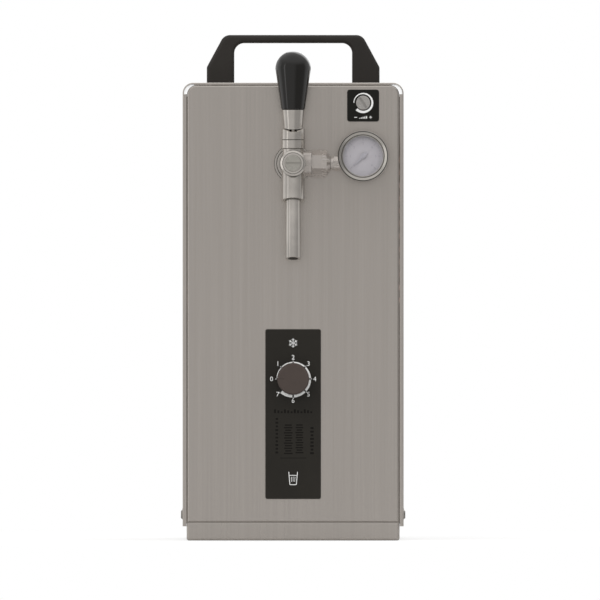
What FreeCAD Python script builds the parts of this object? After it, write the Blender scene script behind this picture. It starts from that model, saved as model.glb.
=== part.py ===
import FreeCAD
import Part
import math
import os

# Countertop beer dispenser with a dry-cooled flow-through cooler, in millimetres.
# Frame: +Z up, the front faces -Y, the origin is the centre of the base's underside.

# ---------------------------------------------------------------- driving dimensions
CASE_W = 154.4             # width over the wrapped cover
CASE_D = 252.0             # depth over the front and rear panels
CASE_TOP = 319.8           # top of the cover above the base's underside
COVER_BOTTOM = 9.9         # lower edge of the cover's side walls
COVER_R = 7.4              # outer radius of the cover's two long bends
SHEET = 0.9                # steel sheet of the cover, the panels and the base
BEND = 1.7                 # outer bend radius of a flanged edge
COVER_LIP = 3.0            # how far the cover's front and rear edges turn inwards
LIP_RELIEF = 0.6           # how far a turned edge stops short of the corner bend
PANEL_GAP = 0.15           # gap between a panel's edge and the cover's turned edge
PANEL_R = 6.4              # corner radius of the front and rear panels
PANEL_BEND = 1.4           # outer bend radius round the panels' edges
LIP_ROUND = 0.6            # rounding of the turned edges beside the panels
LIP_SET = 0.7              # how far the panels stand proud of the turned edges
PANEL_FLANGE = 13.0        # depth of the flange round each panel
PAN_H = 12.6               # height of the base pan's walls
PAN_INSET = 2.8            # base pan's walls inside the cover's outside
PAN_LIP = 9.0              # width of the pan's inward lip, on which the panels stand
FIT = 0.05                 # radial clearance of a running fit
CLEAR = 0.3                # gap beside a moving face

# carry handle
HANDLE_INSET = 16.5        # outsides of the two legs from the case's sides
HANDLE_RISE = 34.4         # top of the handle above the cover
HANDLE_LEG = 19.3          # width of one leg
HANDLE_KNEE = 11.8         # height at which the legs' outsides start to lean in
HANDLE_LEAN = 12.2         # how far the leaning sides come in up to the top
HANDLE_BAR = 5.6           # thickness of the grip bar
HANDLE_D = 28.0            # depth of the handle
HANDLE_INNER_R = 7.0       # radius of the inner corners
HANDLE_OUTER_R = 7.0       # radius of the upper outer corners
HANDLE_KNEE_R = 3.0        # radius of the knees
HANDLE_EDGE = 2.4          # rounding of the handle's long edges
HANDLE_WALL = 3.0          # wall round the hollow in each leg
HANDLE_SCREW_R = 2.5       # handle screws

# fronts
PLATE_T = 0.8              # thickness of the two black plates
PLATE_W = 38.8
PLATE_LOW = 29.0
PLATE_HIGH = 147.6
PLATE_R = 1.4
DIAL_Z = 112.9             # axis of the thermostat
DIAL_KNOB_R = 11.25
DIAL_KNOB_H = 13.0
DIAL_SHAFT_R = 3.0
REG_PLATE = 22.3           # side of the square regulator plate
REG_PLATE_R = 1.8
REG_SIDE = 28.3            # regulator's axis from the right side
REG_DROP = 14.0            # regulator's axis below the top
REG_PLATE_DROP = 16.0      # middle of its plate below the top
REG_SCREW_R = 5.0
REG_SLOT_W = 1.8
REG_SLOT_TILT = 33.0       # tilt of the screw's slot from upright at rest, in degrees

# tap, measured forward of the front panel's face
TAP_DROP = 56.5            # axis of the shank below the case's top
ROSETTE_R = 13.6
ROSETTE_STEP_R = 11.2
ROSETTE_T = 4.0
SHANK_R = 7.9              # threaded shank through the panel
SHANK_BORE_R = 3.5         # beer way through shank and tee
TEE_R = 7.5
TEE_FRONT = 26.0           # front end of the tee
BRANCH_OUT = 15.0          # axis of the tee's side branch
BRANCH_R = 8.6
BRANCH_END = 12.8          # end of the branch, to the right of the tap
UNION_END = 23.4           # end of the union nut's hexagon
UNION_ACROSS = 18.3        # across the nut's corners
UNION_TILT = -8.0
UNION_NOSE = 2.4           # length of the nut's tapered nose
STUB_R = 4.15
TAP_OUT = 37.0             # upright axis of the tap
BOSS_R = 8.9
BOSS_OUT = 51.0            # face of the front boss
NECK_R = 7.25
PIVOT_RISE = 11.0          # lever ball above the shank's axis
BALL_R = 5.0
FINGER_R = 1.3
FINGER_TIP_R = 1.8
FINGER_ARM = 9.0           # ball centre to the finger's tip
STEM_R = 2.2
COLLAR_R = 8.2
COLLAR_LOW = 10.5          # lower collar's foot above the shank's axis
COLLAR_MID = 16.5
COLLAR_TOP = 24.0
CONE_LOW = 24.9            # foot of the lever's ferrule above the shank's axis
CONE_LOW_R = 6.7
CONE_TOP = 37.2
CONE_TOP_R = 7.95
KNOB_R = 12.35             # largest radius of the knob
KNOB_FOOT_R = 8.27
KNOB_WAIST = 65.9          # height of the knob's widest place above the shank's axis
LEVER_OPEN = 24.0          # lever's travel forwards and back, in degrees
LEVER_BACK = 10.0
SADDLE_GAP = 0.5           # gap between the bonnet's saddle and the ferrule
SPOUT_LEAN = 15.0          # forward lean of the outlet, in degrees
BARREL_R = 8.0
BARREL_DROP = 25.9         # end of the barrel below the shank's axis
SPOUT_R = 5.15
SPOUT_BORE_R = 3.6
SPOUT_DROP = 66.4
SPOUT_SEAT = 9.0           # depth of the spout's spigot in the barrel
SPOUT_SEAT_R = 4.6
PISTON_R = 5.0
PISTON_SLOT = 5.0          # width of the piston's notch for the finger
COMP_R = 5.8               # head of the flow screw
COMP_SHANK_R = 3.6
COMP_SLOT_W = 1.6

# pressure gauge
GAUGE_X = 48.7
GAUGE_RISE = 5.0           # gauge centre above the shank's axis
GAUGE_R = 17.6
GAUGE_DIAL_R = 14.0
GAUGE_BACK = 23.0          # back and front of the gauge, forward of the panel
GAUGE_FRONT = 45.0
GAUGE_WALL = 1.2
GAUGE_BEZEL_L = 6.0        # length of the bezel ring
GAUGE_LENS_T = 1.0
GAUGE_DIAL_T = 0.6
POINTER_L = 11.0

# rear
FAN_SIZE = 120.0           # side of the fan's square frame
FAN_T = 15.0
FAN_DROP = 87.8            # fan's axis below the top
FAN_HOLE_R = 56.0
FAN_PITCH = 105.0          # spacing of the fan's corner holes
FAN_HUB_R = 19.0
FAN_BLADES = 7
FAN_BLADE_GAP = 1.2        # gap between a blade's tip and the frame
GRILLE_T = 2.2
GRILLE_WIRE = 1.1          # radius of the guard's wires
GRILLE_RINGS = 7
FITTING_SIDE = 27.2        # beer inlet from the left side; the air outlet is beside it
FITTING_PITCH = 34.0
FITTING_DROP = 185.8       # fittings' axes below the top
FITTING_R = 9.0
FITTING_OUT = 13.0         # how far the fittings stand out of the rear panel
HOSE_R = 4.0               # outside of the drink and air hoses
HOSE_SOCKET_R = 4.05
COLLET_R = 6.4
COLLET_TRAVEL = 1.5
INLET_SIDE = 33.2          # mains inlet and power switch from the right side
INLET_Z = 42.0
INLET_W = 27.0
INLET_H = 20.0
INLET_DEPTH = 17.0
SWITCH_Z = 92.0
SWITCH_PITCH = 27.0
SWITCH_W = 19.0
SWITCH_H = 13.0
ROCKER_TRAVEL = 9.0        # swing to each side of level, in degrees

# cooling machinery
COMP_SHELL_R = 50.0
COMP_HEADROOM = 215.8      # room above the compressor's feet that its shell leaves free
COMP_SIDE = 63.2           # compressor's axis from the left side
COMP_IN = 68.0             # and in front of the rear panel
COMP_FOOT = 92.0           # spacing of the compressor's rubber feet
COMP_FOOT_H = 12.0
GROMMET_R = 8.0
STUD_R = 3.0
BLOCK_SIDE = 31.2          # aluminium cooling block: room to each side of the case,
BLOCK_IN = 51.0            # behind the front,
BLOCK_OFF_REAR = 135.0     # in front of the rear,
BLOCK_DROP = 153.8         # its foot
BLOCK_ROOF = 16.8          # and its top below the case's top
FOAM_T = 11.0
COIL_SIDE = 23.2           # condenser: room to each side of the case
COIL_D = 20.0
COIL_H = 108.0
FIN_PITCH = 6.0
FIN_T = 0.6
TUBE_R = 3.0               # refrigerant tubes
VENT_SLOTS = 14            # slots in each side of the cover
VENT_PITCH = 9.0
VENT_LEN = 46.0
VENT_W = 3.6
VENT_DROP = 151.8          # lowest slot below the top
VENT_IN = 30.0             # middle of the slots in front of the rear

# ---------------------------------------------------------------- derived places
FRONT = -CASE_D / 2
REAR = CASE_D / 2
HALF_W = CASE_W / 2
HANDLE_FOOT_W = CASE_W - 2 * HANDLE_INSET
HANDLE_TOP_W = HANDLE_FOOT_W - 2 * HANDLE_LEAN
COVER_IN = HALF_W - SHEET
PANEL_HALF = HALF_W - COVER_LIP - PANEL_GAP
PANEL_TOP = CASE_TOP - BEND - 0.1
PAN_W = CASE_W - 2 * PAN_INSET
REG_X = HALF_W - REG_SIDE
REG_PLATE_Z = CASE_TOP - REG_PLATE_DROP
REG_Z = CASE_TOP - REG_DROP
TAP_Z = CASE_TOP - TAP_DROP
TAP_Y = FRONT - TAP_OUT
FAN_Z = CASE_TOP - FAN_DROP
VENT_LOW = CASE_TOP - VENT_DROP
VENT_Y = REAR - VENT_IN
FITTING_X = FITTING_SIDE - HALF_W
FITTING_Z = CASE_TOP - FITTING_DROP
INLET_X = HALF_W - INLET_SIDE
SWITCH_X = INLET_X
COMP_SHELL_H = CASE_TOP - COMP_HEADROOM
COMP_X = COMP_SIDE - HALF_W
COMP_Y = REAR - COMP_IN
BLOCK_W = CASE_W - 2 * BLOCK_SIDE
BLOCK_FRONT = FRONT + BLOCK_IN
BLOCK_REAR = REAR - BLOCK_OFF_REAR
BLOCK_Y = (BLOCK_FRONT + BLOCK_REAR) / 2
BLOCK_LOW = CASE_TOP - BLOCK_DROP
BLOCK_HIGH = CASE_TOP - BLOCK_ROOF
COIL_W = CASE_W - 2 * COIL_SIDE
PIVOT = FreeCAD.Vector(0, TAP_Y, TAP_Z + PIVOT_RISE)
GAUGE_Z = TAP_Z + GAUGE_RISE
X = FreeCAD.Vector(1, 0, 0)
Y = FreeCAD.Vector(0, 1, 0)
Z = FreeCAD.Vector(0, 0, 1)
ORIGIN = FreeCAD.Vector(0, 0, 0)

NODES = {}


# ---------------------------------------------------------------- helpers
def at(x, y, z):
    return FreeCAD.Vector(x, y, z)


def box(x0, x1, y0, y1, z0, z1):
    """Box between two corners, given in any order."""
    low = at(min(x0, x1), min(y0, y1), min(z0, z1))
    return Part.makeBox(abs(x1 - x0), abs(y1 - y0), abs(z1 - z0), low)


def rod(radius, start, end):
    """Cylinder from one point to another."""
    run = end.sub(start)
    return Part.makeCylinder(radius, run.Length, start, run)


def pipe(outer, inner, start, end):
    """Cylinder with a bore right through it."""
    return rod(outer, start, end).cut(rod(inner, start, end))


def cone(r0, r1, start, end):
    run = end.sub(start)
    return Part.makeCone(r0, r1, run.Length, start, run)


def fuse(*shapes):
    """Union of shapes, without the seams between coplanar faces."""
    whole = shapes[0].multiFuse(list(shapes[1:]))
    return whole.removeSplitter()


def cut(shape, *tools):
    return shape.cut(Part.makeCompound(list(tools)))


def bent_wire(points, radii, closed=True):
    """Wire through points whose corners are rounded to the given radii."""
    count = len(points)
    ends = []
    for number, corner in enumerate(points):
        radius = radii[number]
        if radius == 0:
            ends.append((corner, None, corner))
            continue
        inward = at(*corner).sub(points[number - 1]).normalize()
        outward = at(*points[(number + 1) % count]).sub(corner).normalize()
        turn = inward.getAngle(outward)
        reach = radius * math.tan(turn / 2)
        start = corner.sub(at(*inward).multiply(reach))
        end = corner.add(at(*outward).multiply(reach))
        to_centre = at(*outward).sub(inward).normalize()
        bulge = radius / math.cos(turn / 2) - radius
        ends.append((start, corner.add(to_centre.multiply(bulge)), end))
    edges = []
    for number, (start, middle, end) in enumerate(ends):
        if middle is not None:
            edges.append(Part.Arc(start, middle, end).toShape())
        if number + 1 < count or closed:
            following = ends[(number + 1) % count][0]
            if end.distanceToPoint(following) > 1e-6:
                edges.append(Part.makeLine(end, following))
    return Part.Wire(edges)


def rounded_rect(half_w, low, high, radii, y, x_mid=0.0):
    """Upright rectangle at y; radii is one radius, or those of its foot and its top."""
    foot, top = radii if isinstance(radii, tuple) else (radii, radii)
    x0 = x_mid - half_w
    x1 = x_mid + half_w
    corners = [at(x1, y, low), at(x1, y, high), at(x0, y, high), at(x0, y, low)]
    return bent_wire(corners, [foot, top, top, foot])


def slab(half_w, low, high, radius, y0, y1, x_mid=0.0):
    """Plate with round corners between two values of Y."""
    wire = rounded_rect(half_w, low, high, radius, min(y0, y1), x_mid)
    return Part.Face(wire).extrude(at(0, abs(y1 - y0), 0))


def lathe(points, centre, axis=Z):
    """Solid turned from (radius, height) points about an axis through centre."""
    wire = Part.makePolygon([at(r, 0, h) for r, h in points + points[:1]])
    solid = Part.Face(wire).revolve(ORIGIN, Z, 360)
    turn = FreeCAD.Rotation(Z, axis)
    solid.Placement = FreeCAD.Placement(centre, turn)
    return Part.makeSolid(solid) if solid.ShapeType == "Shell" else solid


def hexagon(across_corners, start, end, tilt=0.0):
    """Hexagonal bar from one point to another."""
    run = end.sub(start)
    turn = FreeCAD.Rotation(Z, run)
    corners = []
    for number in range(7):
        angle = math.radians(60 * number + tilt)
        flat = at(math.cos(angle), math.sin(angle), 0).multiply(across_corners / 2)
        corners.append(start.add(turn.multVec(flat)))
    return Part.Face(Part.makePolygon(corners)).extrude(run)


def spin(shape, degrees, centre, axis):
    """Copy of a shape turned about an axis through centre."""
    copy = shape.copy()
    copy.rotate(centre, axis, degrees)
    return copy


def soften(shape, radius, wanted):
    """Fillet of every edge for which wanted(edge) is true."""
    edges = [edge for edge in shape.Edges if wanted(edge)]
    return shape.makeFillet(radius, edges)


def tube(points, outer, bend, inner=0.0):
    """Round tube with bends of one radius, hollow if an inner radius is given."""
    bends = [0] + [bend] * (len(points) - 2) + [0]
    path = bent_wire(points, bends, closed=False)
    along = points[1].sub(points[0])
    shape = None
    for radius in (outer, inner):
        if radius <= 0:
            continue
        ring = Part.Wire([Part.makeCircle(radius, points[0], along)])
        solid = path.makePipeShell([ring], True, False)
        shape = solid if shape is None else shape.cut(solid)
    return shape


def keep(name, *solids):
    """Records the solids of one node."""
    NODES[name] = solids[0] if len(solids) == 1 else Part.makeCompound(list(solids))


# ---------------------------------------------------------------- sheet-metal case
SCREW_Z = 18.1             # cover screws: height, distance from the ends, head
SCREW_IN = 8.0
SCREW_HEAD_R = 3.5
SCREW_HEAD_H = 1.2
SCREW_R = 2.0
SCREW_L = 9.0
HANDLE_Y = 0.0
HANDLE_SCREW_X = (HANDLE_FOOT_W - HANDLE_LEG) / 2


def cover_section(inset):
    """Inverted U as a face in XZ at the front, drawn in by inset."""
    half = HALF_W - inset
    top = CASE_TOP - inset
    corners = [at(half, FRONT, COVER_BOTTOM), at(half, FRONT, top),
               at(-half, FRONT, top), at(-half, FRONT, COVER_BOTTOM)]
    radius = COVER_R - inset
    return Part.Face(bent_wire(corners, [0, radius, radius, 0]))


def cover_screw_places():
    """Yields side, X direction and Y of each cover screw."""
    for side in (-1, 1):
        for y in (FRONT + SCREW_IN, REAR - SCREW_IN):
            yield side, y


def outer_cover():
    depth = at(0, CASE_D - 2 * LIP_SET, 0)
    shell = cover_section(0).extrude(depth).cut(cover_section(SHEET).extrude(depth))
    shell.translate(at(0, LIP_SET, 0))
    lips = []
    side_top = CASE_TOP - COVER_R - LIP_RELIEF
    top_half = HALF_W - COVER_R - LIP_RELIEF
    inner = HALF_W - COVER_LIP
    end = REAR - LIP_SET
    for y in (-end, end - SHEET):
        for side in (-1, 1):
            lips.append(box(side * inner, side * (HALF_W - BEND / 2), y, y + SHEET,
                            COVER_BOTTOM, side_top))
        lips.append(box(-top_half, top_half, y, y + SHEET, PANEL_TOP + PANEL_GAP,
                        CASE_TOP - BEND / 2))
    shell = shell.multiFuse(lips).removeSplitter()

    def long_front_edge(edge):
        middle = edge.BoundBox.Center
        on_end = abs(abs(middle.y) - end) < 0.01
        on_side = abs(abs(middle.x) - HALF_W) < 0.01
        on_top = abs(middle.z - CASE_TOP) < 0.01
        return on_end and (on_side or on_top) and edge.BoundBox.YLength < 0.01

    def lip_edge(edge):
        middle = edge.BoundBox.Center
        on_end = abs(abs(middle.y) - end) < 0.01 and edge.BoundBox.YLength < 0.01
        beside = abs(abs(middle.x) - inner) < 0.01 and edge.BoundBox.XLength < 0.01
        below = abs(middle.z - PANEL_TOP - PANEL_GAP) < 0.01 and edge.BoundBox.ZLength < 0.01
        return on_end and (beside or below)

    shell = soften(shell, SHEET * 0.85, long_front_edge)
    shell = soften(shell, LIP_ROUND, lip_edge)
    relief = PAN_W / 2 + 0.15
    tools = [box(side * (inner - 1), side * relief, -REAR, REAR, COVER_BOTTOM - 1, PAN_H + 0.15)
             for side in (-1, 1)]
    for side, y in cover_screw_places():
        tools.append(rod(SCREW_R + CLEAR, at(side * (HALF_W + 1), y, SCREW_Z),
                         at(side * (HALF_W - 3), y, SCREW_Z)))
    for side in (-1, 1):
        x = side * HANDLE_SCREW_X
        tools.append(rod(HANDLE_SCREW_R + CLEAR, at(x, HANDLE_Y, CASE_TOP - 3),
                         at(x, HANDLE_Y, CASE_TOP + 1)))
        for row in range(VENT_SLOTS):
            z = VENT_LOW + row * VENT_PITCH
            tools.append(vent_slot(side, z))
    return cut(shell, *tools)


def vent_slot(side, z):
    """Round-ended slot through one side of the cover."""
    x = side * (HALF_W - 3)
    run = (VENT_LEN - VENT_W) / 2
    middle = box(x, x + side * 6, VENT_Y - run, VENT_Y + run, z - VENT_W / 2, z + VENT_W / 2)
    ends = [rod(VENT_W / 2, at(x, VENT_Y + step, z), at(x + side * 6, VENT_Y + step, z))
            for step in (-run, run)]
    return middle.multiFuse(ends).removeSplitter()


def base_pan():
    half = PAN_W / 2
    blank = box(-half, half, FRONT, REAR, 0, PAN_H)

    def bent(edge):
        bounds = edge.BoundBox
        upright = bounds.ZLength > PAN_H / 2
        return upright or bounds.ZMax < 0.01

    blank = soften(blank, BEND, bent)
    wall_in = half - SHEET
    hollow = box(-wall_in, wall_in, FRONT + SHEET, REAR - SHEET, SHEET, PAN_H - SHEET)
    mouth = box(-wall_in, wall_in, FRONT + PAN_LIP, REAR - PAN_LIP, SHEET, PAN_H + 1)
    studs = []
    holes = []
    for x, y in compressor_feet():
        studs.append(rod(STUD_R, at(x, y, SHEET / 2), at(x, y, SHEET + STUD_L)))
    start = FRONT + DRAIN_IN
    for number in range(DRAIN_SLOTS):
        x = (number - (DRAIN_SLOTS - 1) / 2) * DRAIN_PITCH
        holes.append(box(x - DRAIN_W / 2, x + DRAIN_W / 2, start, start + DRAIN_L, -1, SHEET + 1))
    return blank.cut(hollow).cut(mouth).multiFuse(studs).cut(Part.makeCompound(holes))


STUD_L = 20.0              # welded studs that carry the compressor


def compressor_feet():
    """Yields X and Y of the compressor's four feet."""
    for x in (COMP_X - COMP_FOOT / 2, COMP_X + COMP_FOOT / 2):
        for y in (COMP_Y - COMP_FOOT / 2, COMP_Y + COMP_FOOT / 2):
            yield x, y


def panel_blank(face, inward, inset):
    """Solid under a panel's outside (inset 0) or its inside (inset SHEET)."""
    half = PANEL_HALF - inset
    low = PAN_H + inset
    high = PANEL_TOP - inset
    start = face + inward * inset
    wire = rounded_rect(half, low, high, (0, PANEL_R - inset), start)
    depth = (PANEL_FLANGE + 2 * inset) * inward
    solid = Part.Face(wire).extrude(at(0, depth, 0))
    return soften(solid, PANEL_BEND - inset * 0.95,
                  lambda edge: edge.BoundBox.YLength < 0.01
                  and abs(edge.BoundBox.YMin - start) < 0.01)


def panel(face, inward):
    """Flanged sheet, open to the inside of the case."""
    sheet = panel_blank(face, inward, 0).cut(panel_blank(face, inward, SHEET))
    tools = []
    for side, y in cover_screw_places():
        tools.append(rod(SCREW_R + CLEAR, at(side * HALF_W, y, SCREW_Z),
                         at(side * (PANEL_HALF - 3), y, SCREW_Z)))
    return cut(sheet, *tools)


def front_panel():
    over = 1.0
    inner = FRONT + SHEET + over
    tools = [
        rod(SHANK_R + CLEAR, at(0, FRONT - over, TAP_Z), at(0, inner, TAP_Z)),
        rod(REG_NUT_R + CLEAR, at(REG_X, FRONT - over, REG_Z), at(REG_X, inner, REG_Z)),
        rod(DIAL_BUSH_R + CLEAR, at(0, FRONT - over, DIAL_Z), at(0, inner, DIAL_Z)),
    ]
    return cut(panel(FRONT, 1), *tools)


REG_NUT_R = 6.5            # threaded necks that pass through the front panel
DIAL_BUSH_R = 5.0


def rear_panel():
    over = 1.0
    tools = [rod(FAN_HOLE_R - 3, at(0, REAR + over, FAN_Z), at(0, REAR - 2, FAN_Z))]
    half = FAN_PITCH / 2
    for x in (-half, half):
        for z in (FAN_Z - half, FAN_Z + half):
            tools.append(rod(FAN_SCREW_R + CLEAR, at(x, REAR + over, z), at(x, REAR - 2, z)))
    for number in range(2):
        x = FITTING_X + number * FITTING_PITCH
        tools.append(rod(FITTING_NECK_R + CLEAR, at(x, REAR + over, FITTING_Z),
                         at(x, REAR - 2, FITTING_Z)))
    tools.append(slab(INLET_W / 2 + CLEAR, INLET_Z - INLET_H / 2 - CLEAR,
                      INLET_Z + INLET_H / 2 + CLEAR, 2.0, REAR - 2, REAR + over, INLET_X))
    for number in range(2):
        x = SWITCH_X - number * SWITCH_PITCH
        tools.append(slab(SWITCH_W / 2 + CLEAR, SWITCH_Z - SWITCH_H / 2 - CLEAR,
                          SWITCH_Z + SWITCH_H / 2 + CLEAR, 1.0, REAR - 2, REAR + over, x))
    return cut(panel(REAR, -1), *tools)


FAN_SCREW_R = 2.0
FITTING_NECK_R = 7.5       # threaded neck of each rear fitting


def cover_screws():
    """Round-headed screws that hold the cover to the panels' flanges."""
    screws = []
    for side, y in cover_screw_places():
        def height(x):
            return at(side * x, y, SCREW_Z)
        head = cone(SCREW_HEAD_R, SCREW_HEAD_R * 0.72, height(HALF_W),
                    height(HALF_W + SCREW_HEAD_H))
        shank = rod(SCREW_R, height(HALF_W + 0.1), height(HALF_W - SCREW_L))
        screw = fuse(head, shank)
        far = height(HALF_W + SCREW_HEAD_H)
        slots = []
        for turn in (0, 90):
            bar = box(far.x - 0.7, far.x + 0.7, y - 2, y + 2, SCREW_Z - 0.35, SCREW_Z + 0.35)
            slots.append(spin(bar, turn + 45, far, X))
        screws.append(cut(screw, *slots))
    return screws


def clip_nuts():
    """Flanged rivet nuts in the panels' side flanges, which space the cover off them."""
    nuts = []
    for side, y in cover_screw_places():
        def height(x):
            return at(side * x, y, SCREW_Z)
        collar = rod(SCREW_R * 2, height(COVER_IN), height(PANEL_HALF))
        body = rod(SCREW_R + CLEAR, height(PANEL_HALF), height(PANEL_HALF - 7))
        grip = rod(SCREW_R * 1.7, height(PANEL_HALF - SHEET), height(PANEL_HALF - 7))
        nut = fuse(collar, body, grip)
        nuts.append(nut.cut(rod(SCREW_R, height(HALF_W), height(HALF_W - 20))))
    return nuts


def carry_handle():
    foot = HANDLE_FOOT_W / 2
    top = HANDLE_TOP_W / 2
    rise = CASE_TOP + HANDLE_RISE
    under = rise - HANDLE_BAR
    leg_in = foot - HANDLE_LEG
    y0 = HANDLE_Y - HANDLE_D / 2
    half = [(foot, CASE_TOP, 0), (foot, CASE_TOP + HANDLE_KNEE, HANDLE_KNEE_R),
            (top, rise, HANDLE_OUTER_R)]
    inner = [(-leg_in, CASE_TOP, 0), (-leg_in, under, HANDLE_INNER_R)]
    outline = half + [(-x, z, r) for x, z, r in reversed(half)]
    outline += inner + [(-x, z, r) for x, z, r in reversed(inner)]
    wire = bent_wire([at(x, y0, z) for x, z, r in outline], [r for x, z, r in outline])
    solid = Part.Face(wire).extrude(at(0, HANDLE_D, 0))
    solid = soften(solid, HANDLE_EDGE, lambda edge: edge.BoundBox.YLength < 0.01
                   and edge.BoundBox.ZMax > CASE_TOP + 0.01)
    tools = []
    bosses = []
    pocket_top = CASE_TOP + HANDLE_KNEE
    for side in (-1, 1):
        x0 = side * (leg_in + HANDLE_WALL)
        x1 = side * (foot - HANDLE_WALL)
        tools.append(box(x0, x1, y0 + HANDLE_WALL, y0 + HANDLE_D - HANDLE_WALL,
                         CASE_TOP - 1, pocket_top))
        x = side * HANDLE_SCREW_X
        bosses.append(pipe(HANDLE_SCREW_R * 2, HANDLE_SCREW_R, at(x, HANDLE_Y, CASE_TOP),
                           at(x, HANDLE_Y, pocket_top + 0.5)))
    solid = cut(solid, *tools)
    bores = [rod(HANDLE_SCREW_R, at(side * HANDLE_SCREW_X, HANDLE_Y, CASE_TOP - 1),
                 at(side * HANDLE_SCREW_X, HANDLE_Y, CASE_TOP + HANDLE_SCREW_L))
             for side in (-1, 1)]
    return cut(fuse(solid, *bosses), *bores)


HANDLE_SCREW_L = 9.0       # thread engaged in the handle


def handle_screws():
    screws = []
    for side in (-1, 1):
        x = side * HANDLE_SCREW_X
        under = CASE_TOP - SHEET
        washer = rod(HANDLE_SCREW_R * 2.4, at(x, HANDLE_Y, under - 1.2), at(x, HANDLE_Y, under))
        head = hexagon(HANDLE_SCREW_R * 3.6, at(x, HANDLE_Y, under - 4.2),
                       at(x, HANDLE_Y, under - 1.2))
        shank = rod(HANDLE_SCREW_R, at(x, HANDLE_Y, under - 1),
                    at(x, HANDLE_Y, CASE_TOP + HANDLE_SCREW_L))
        screws.append(fuse(washer, head, shank))
    return screws


def build_case():
    keep("base_pan", base_pan())
    keep("outer_cover", outer_cover())
    keep("front_panel", front_panel())
    keep("rear_panel", rear_panel())
    keep("cover_fasteners", *cover_screws(), *clip_nuts())
    keep("carry_handle", carry_handle())
    keep("handle_screws", *handle_screws())


# ---------------------------------------------------------------- tap and gauge
ROSETTE_RIM_T = 2.2        # thickness of the rosette's outer step
TEE_BACK = 6.0             # back end of the tee's barrel
TEE_SPIGOT_R = 5.5
SHANK_IN = 30.0            # shank behind the panel
SHANK_NUT_ACROSS = 24.0
SHANK_NUT_T = 6.0
BRANCH_SPIGOT_R = 6.0
BRANCH_SPIGOT_L = 6.2
STUB_FLANGE_T = 1.5
STUB_BORE_R = 1.5
STUB_HEX_ACROSS = 9.6
STUB_HEX_AT = 2.6          # hexagon on the stub, beyond the nut's nose
STUB_HEX_L = 3.6
ELBOW_R = 5.4
PISTON_GAP = 0.08          # radial clearance of the piston
PISTON_BACK = 31.6         # ends of the piston, forward of the panel
PISTON_FRONT = 43.5
PISTON_STOP = 46.0         # front end of the piston's bore
PISTON_GROOVES = (33.1, 41.9)
GROOVE_R = 3.35            # O-ring grooves on the piston
GROOVE_W = 1.8
SEAL_R = 0.78              # section of the piston's O-rings
NOTCH_FLOOR = 0.3          # floor of the piston's notch below its axis
COMP_HEAD_T = 2.0
COMP_PROUD = 0.3
BALL_GAP = 0.1
STEM_GAP = 0.4
SPIGOT_R = 6.25            # bonnet's threaded spigot
SPIGOT_FOOT = 1.0          # spigot's foot above the ball's centre
SEAT_HOLE_R = 3.9
SEAT_LOW = 4.4             # foot and top of the ball seat below the ball's centre
SEAT_HIGH = 1.5
COLLAR_EDGE = 0.25         # chamfer of the two collars
SKIRT_LOW = 12.7           # the ferrule's skirt is cut to follow the bonnet's saddle
GROOVE_T = 0.4             # width of the turned lines in the tap's pieces
RIM_LINES = (13.3, 11.6)   # outer radii of the turned lines in the rosette's rim
STEP_LINE = 9.5
BOSS_LINE = 7.55           # turned line in the boss's face
BOSS_BEVEL_R = 7.6         # inner radius and depth of the boss's bevel
BOSS_BEVEL_T = 0.75
STUD_TOP = 14.0            # lever's stud inside the knob
STUD_THREAD_R = 2.5
LEAN = at(0, -math.sin(math.radians(SPOUT_LEAN)), -math.cos(math.radians(SPOUT_LEAN)))


def out(distance, x=0.0, z=TAP_Z):
    """Point at a distance forward of the front panel's face."""
    return at(x, FRONT - distance, z)


def leaning(drop):
    """Point on the outlet's axis, a drop below the shank's axis."""
    length = drop / math.cos(math.radians(SPOUT_LEAN))
    return at(0, TAP_Y, TAP_Z).add(at(*LEAN).multiply(length))


def tap_height(rise, y=TAP_Y):
    return at(0, y, TAP_Z + rise)


def turned_line(radius, face, depth=0.5):
    """Tool for a thin ring cut into a round face of the tap."""
    return pipe(radius, radius - GROOVE_T, out(face - depth), out(face + 1))


def wall_flange():
    rim = rod(ROSETTE_R, out(0), out(ROSETTE_RIM_T))
    rim = soften(rim, 0.8, lambda edge: edge.BoundBox.YMax < out(ROSETTE_RIM_T / 2).y)
    step = rod(ROSETTE_STEP_R, out(ROSETTE_RIM_T / 2), out(ROSETTE_T))
    step = soften(step, 0.8, lambda edge: edge.BoundBox.YMax < out(ROSETTE_RIM_T).y)
    lines = [turned_line(radius, ROSETTE_RIM_T) for radius in RIM_LINES]
    return cut(fuse(rim, step), rod(SHANK_R, out(-1), out(ROSETTE_T + 1)),
               turned_line(STEP_LINE, ROSETTE_T), *lines)


def tap_shank():
    outside = rod(SHANK_R, out(-SHANK_IN), out(TEE_BACK))
    socket = rod(TEE_SPIGOT_R, out(0), out(TEE_BACK + 1))
    return outside.cut(socket).cut(rod(SHANK_BORE_R, out(-SHANK_IN - 1), out(1)))


def shank_nut():
    back = -SHEET - 1.5
    washer = rod(SHANK_NUT_ACROSS * 0.52, out(-SHEET), out(back))
    nut = hexagon(SHANK_NUT_ACROSS, out(back), out(back - SHANK_NUT_T))
    bore = rod(SHANK_R, out(0), out(-SHANK_IN))
    return fuse(washer, nut).cut(bore)


def gauge_tee():
    centre = out(BRANCH_OUT)
    barrel = rod(TEE_R, out(TEE_BACK), out(TEE_FRONT))
    branch = rod(BRANCH_R, out(BRANCH_OUT, 1.5 - TEE_R), out(BRANCH_OUT, BRANCH_END))
    spigot = rod(BRANCH_SPIGOT_R, centre, out(BRANCH_OUT, BRANCH_END + BRANCH_SPIGOT_L))
    tail = rod(TEE_SPIGOT_R, out(0), centre)
    nose = rod(TEE_SPIGOT_R, centre, out(TEE_FRONT + TEE_NOSE_L))
    body = fuse(barrel, branch, spigot, tail, nose)
    ways = [rod(SHANK_BORE_R, out(-1), out(TEE_FRONT + TEE_NOSE_L + 1)),
            rod(STUB_BORE_R, centre, out(BRANCH_OUT, UNION_END))]
    return cut(body, *ways)


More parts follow.
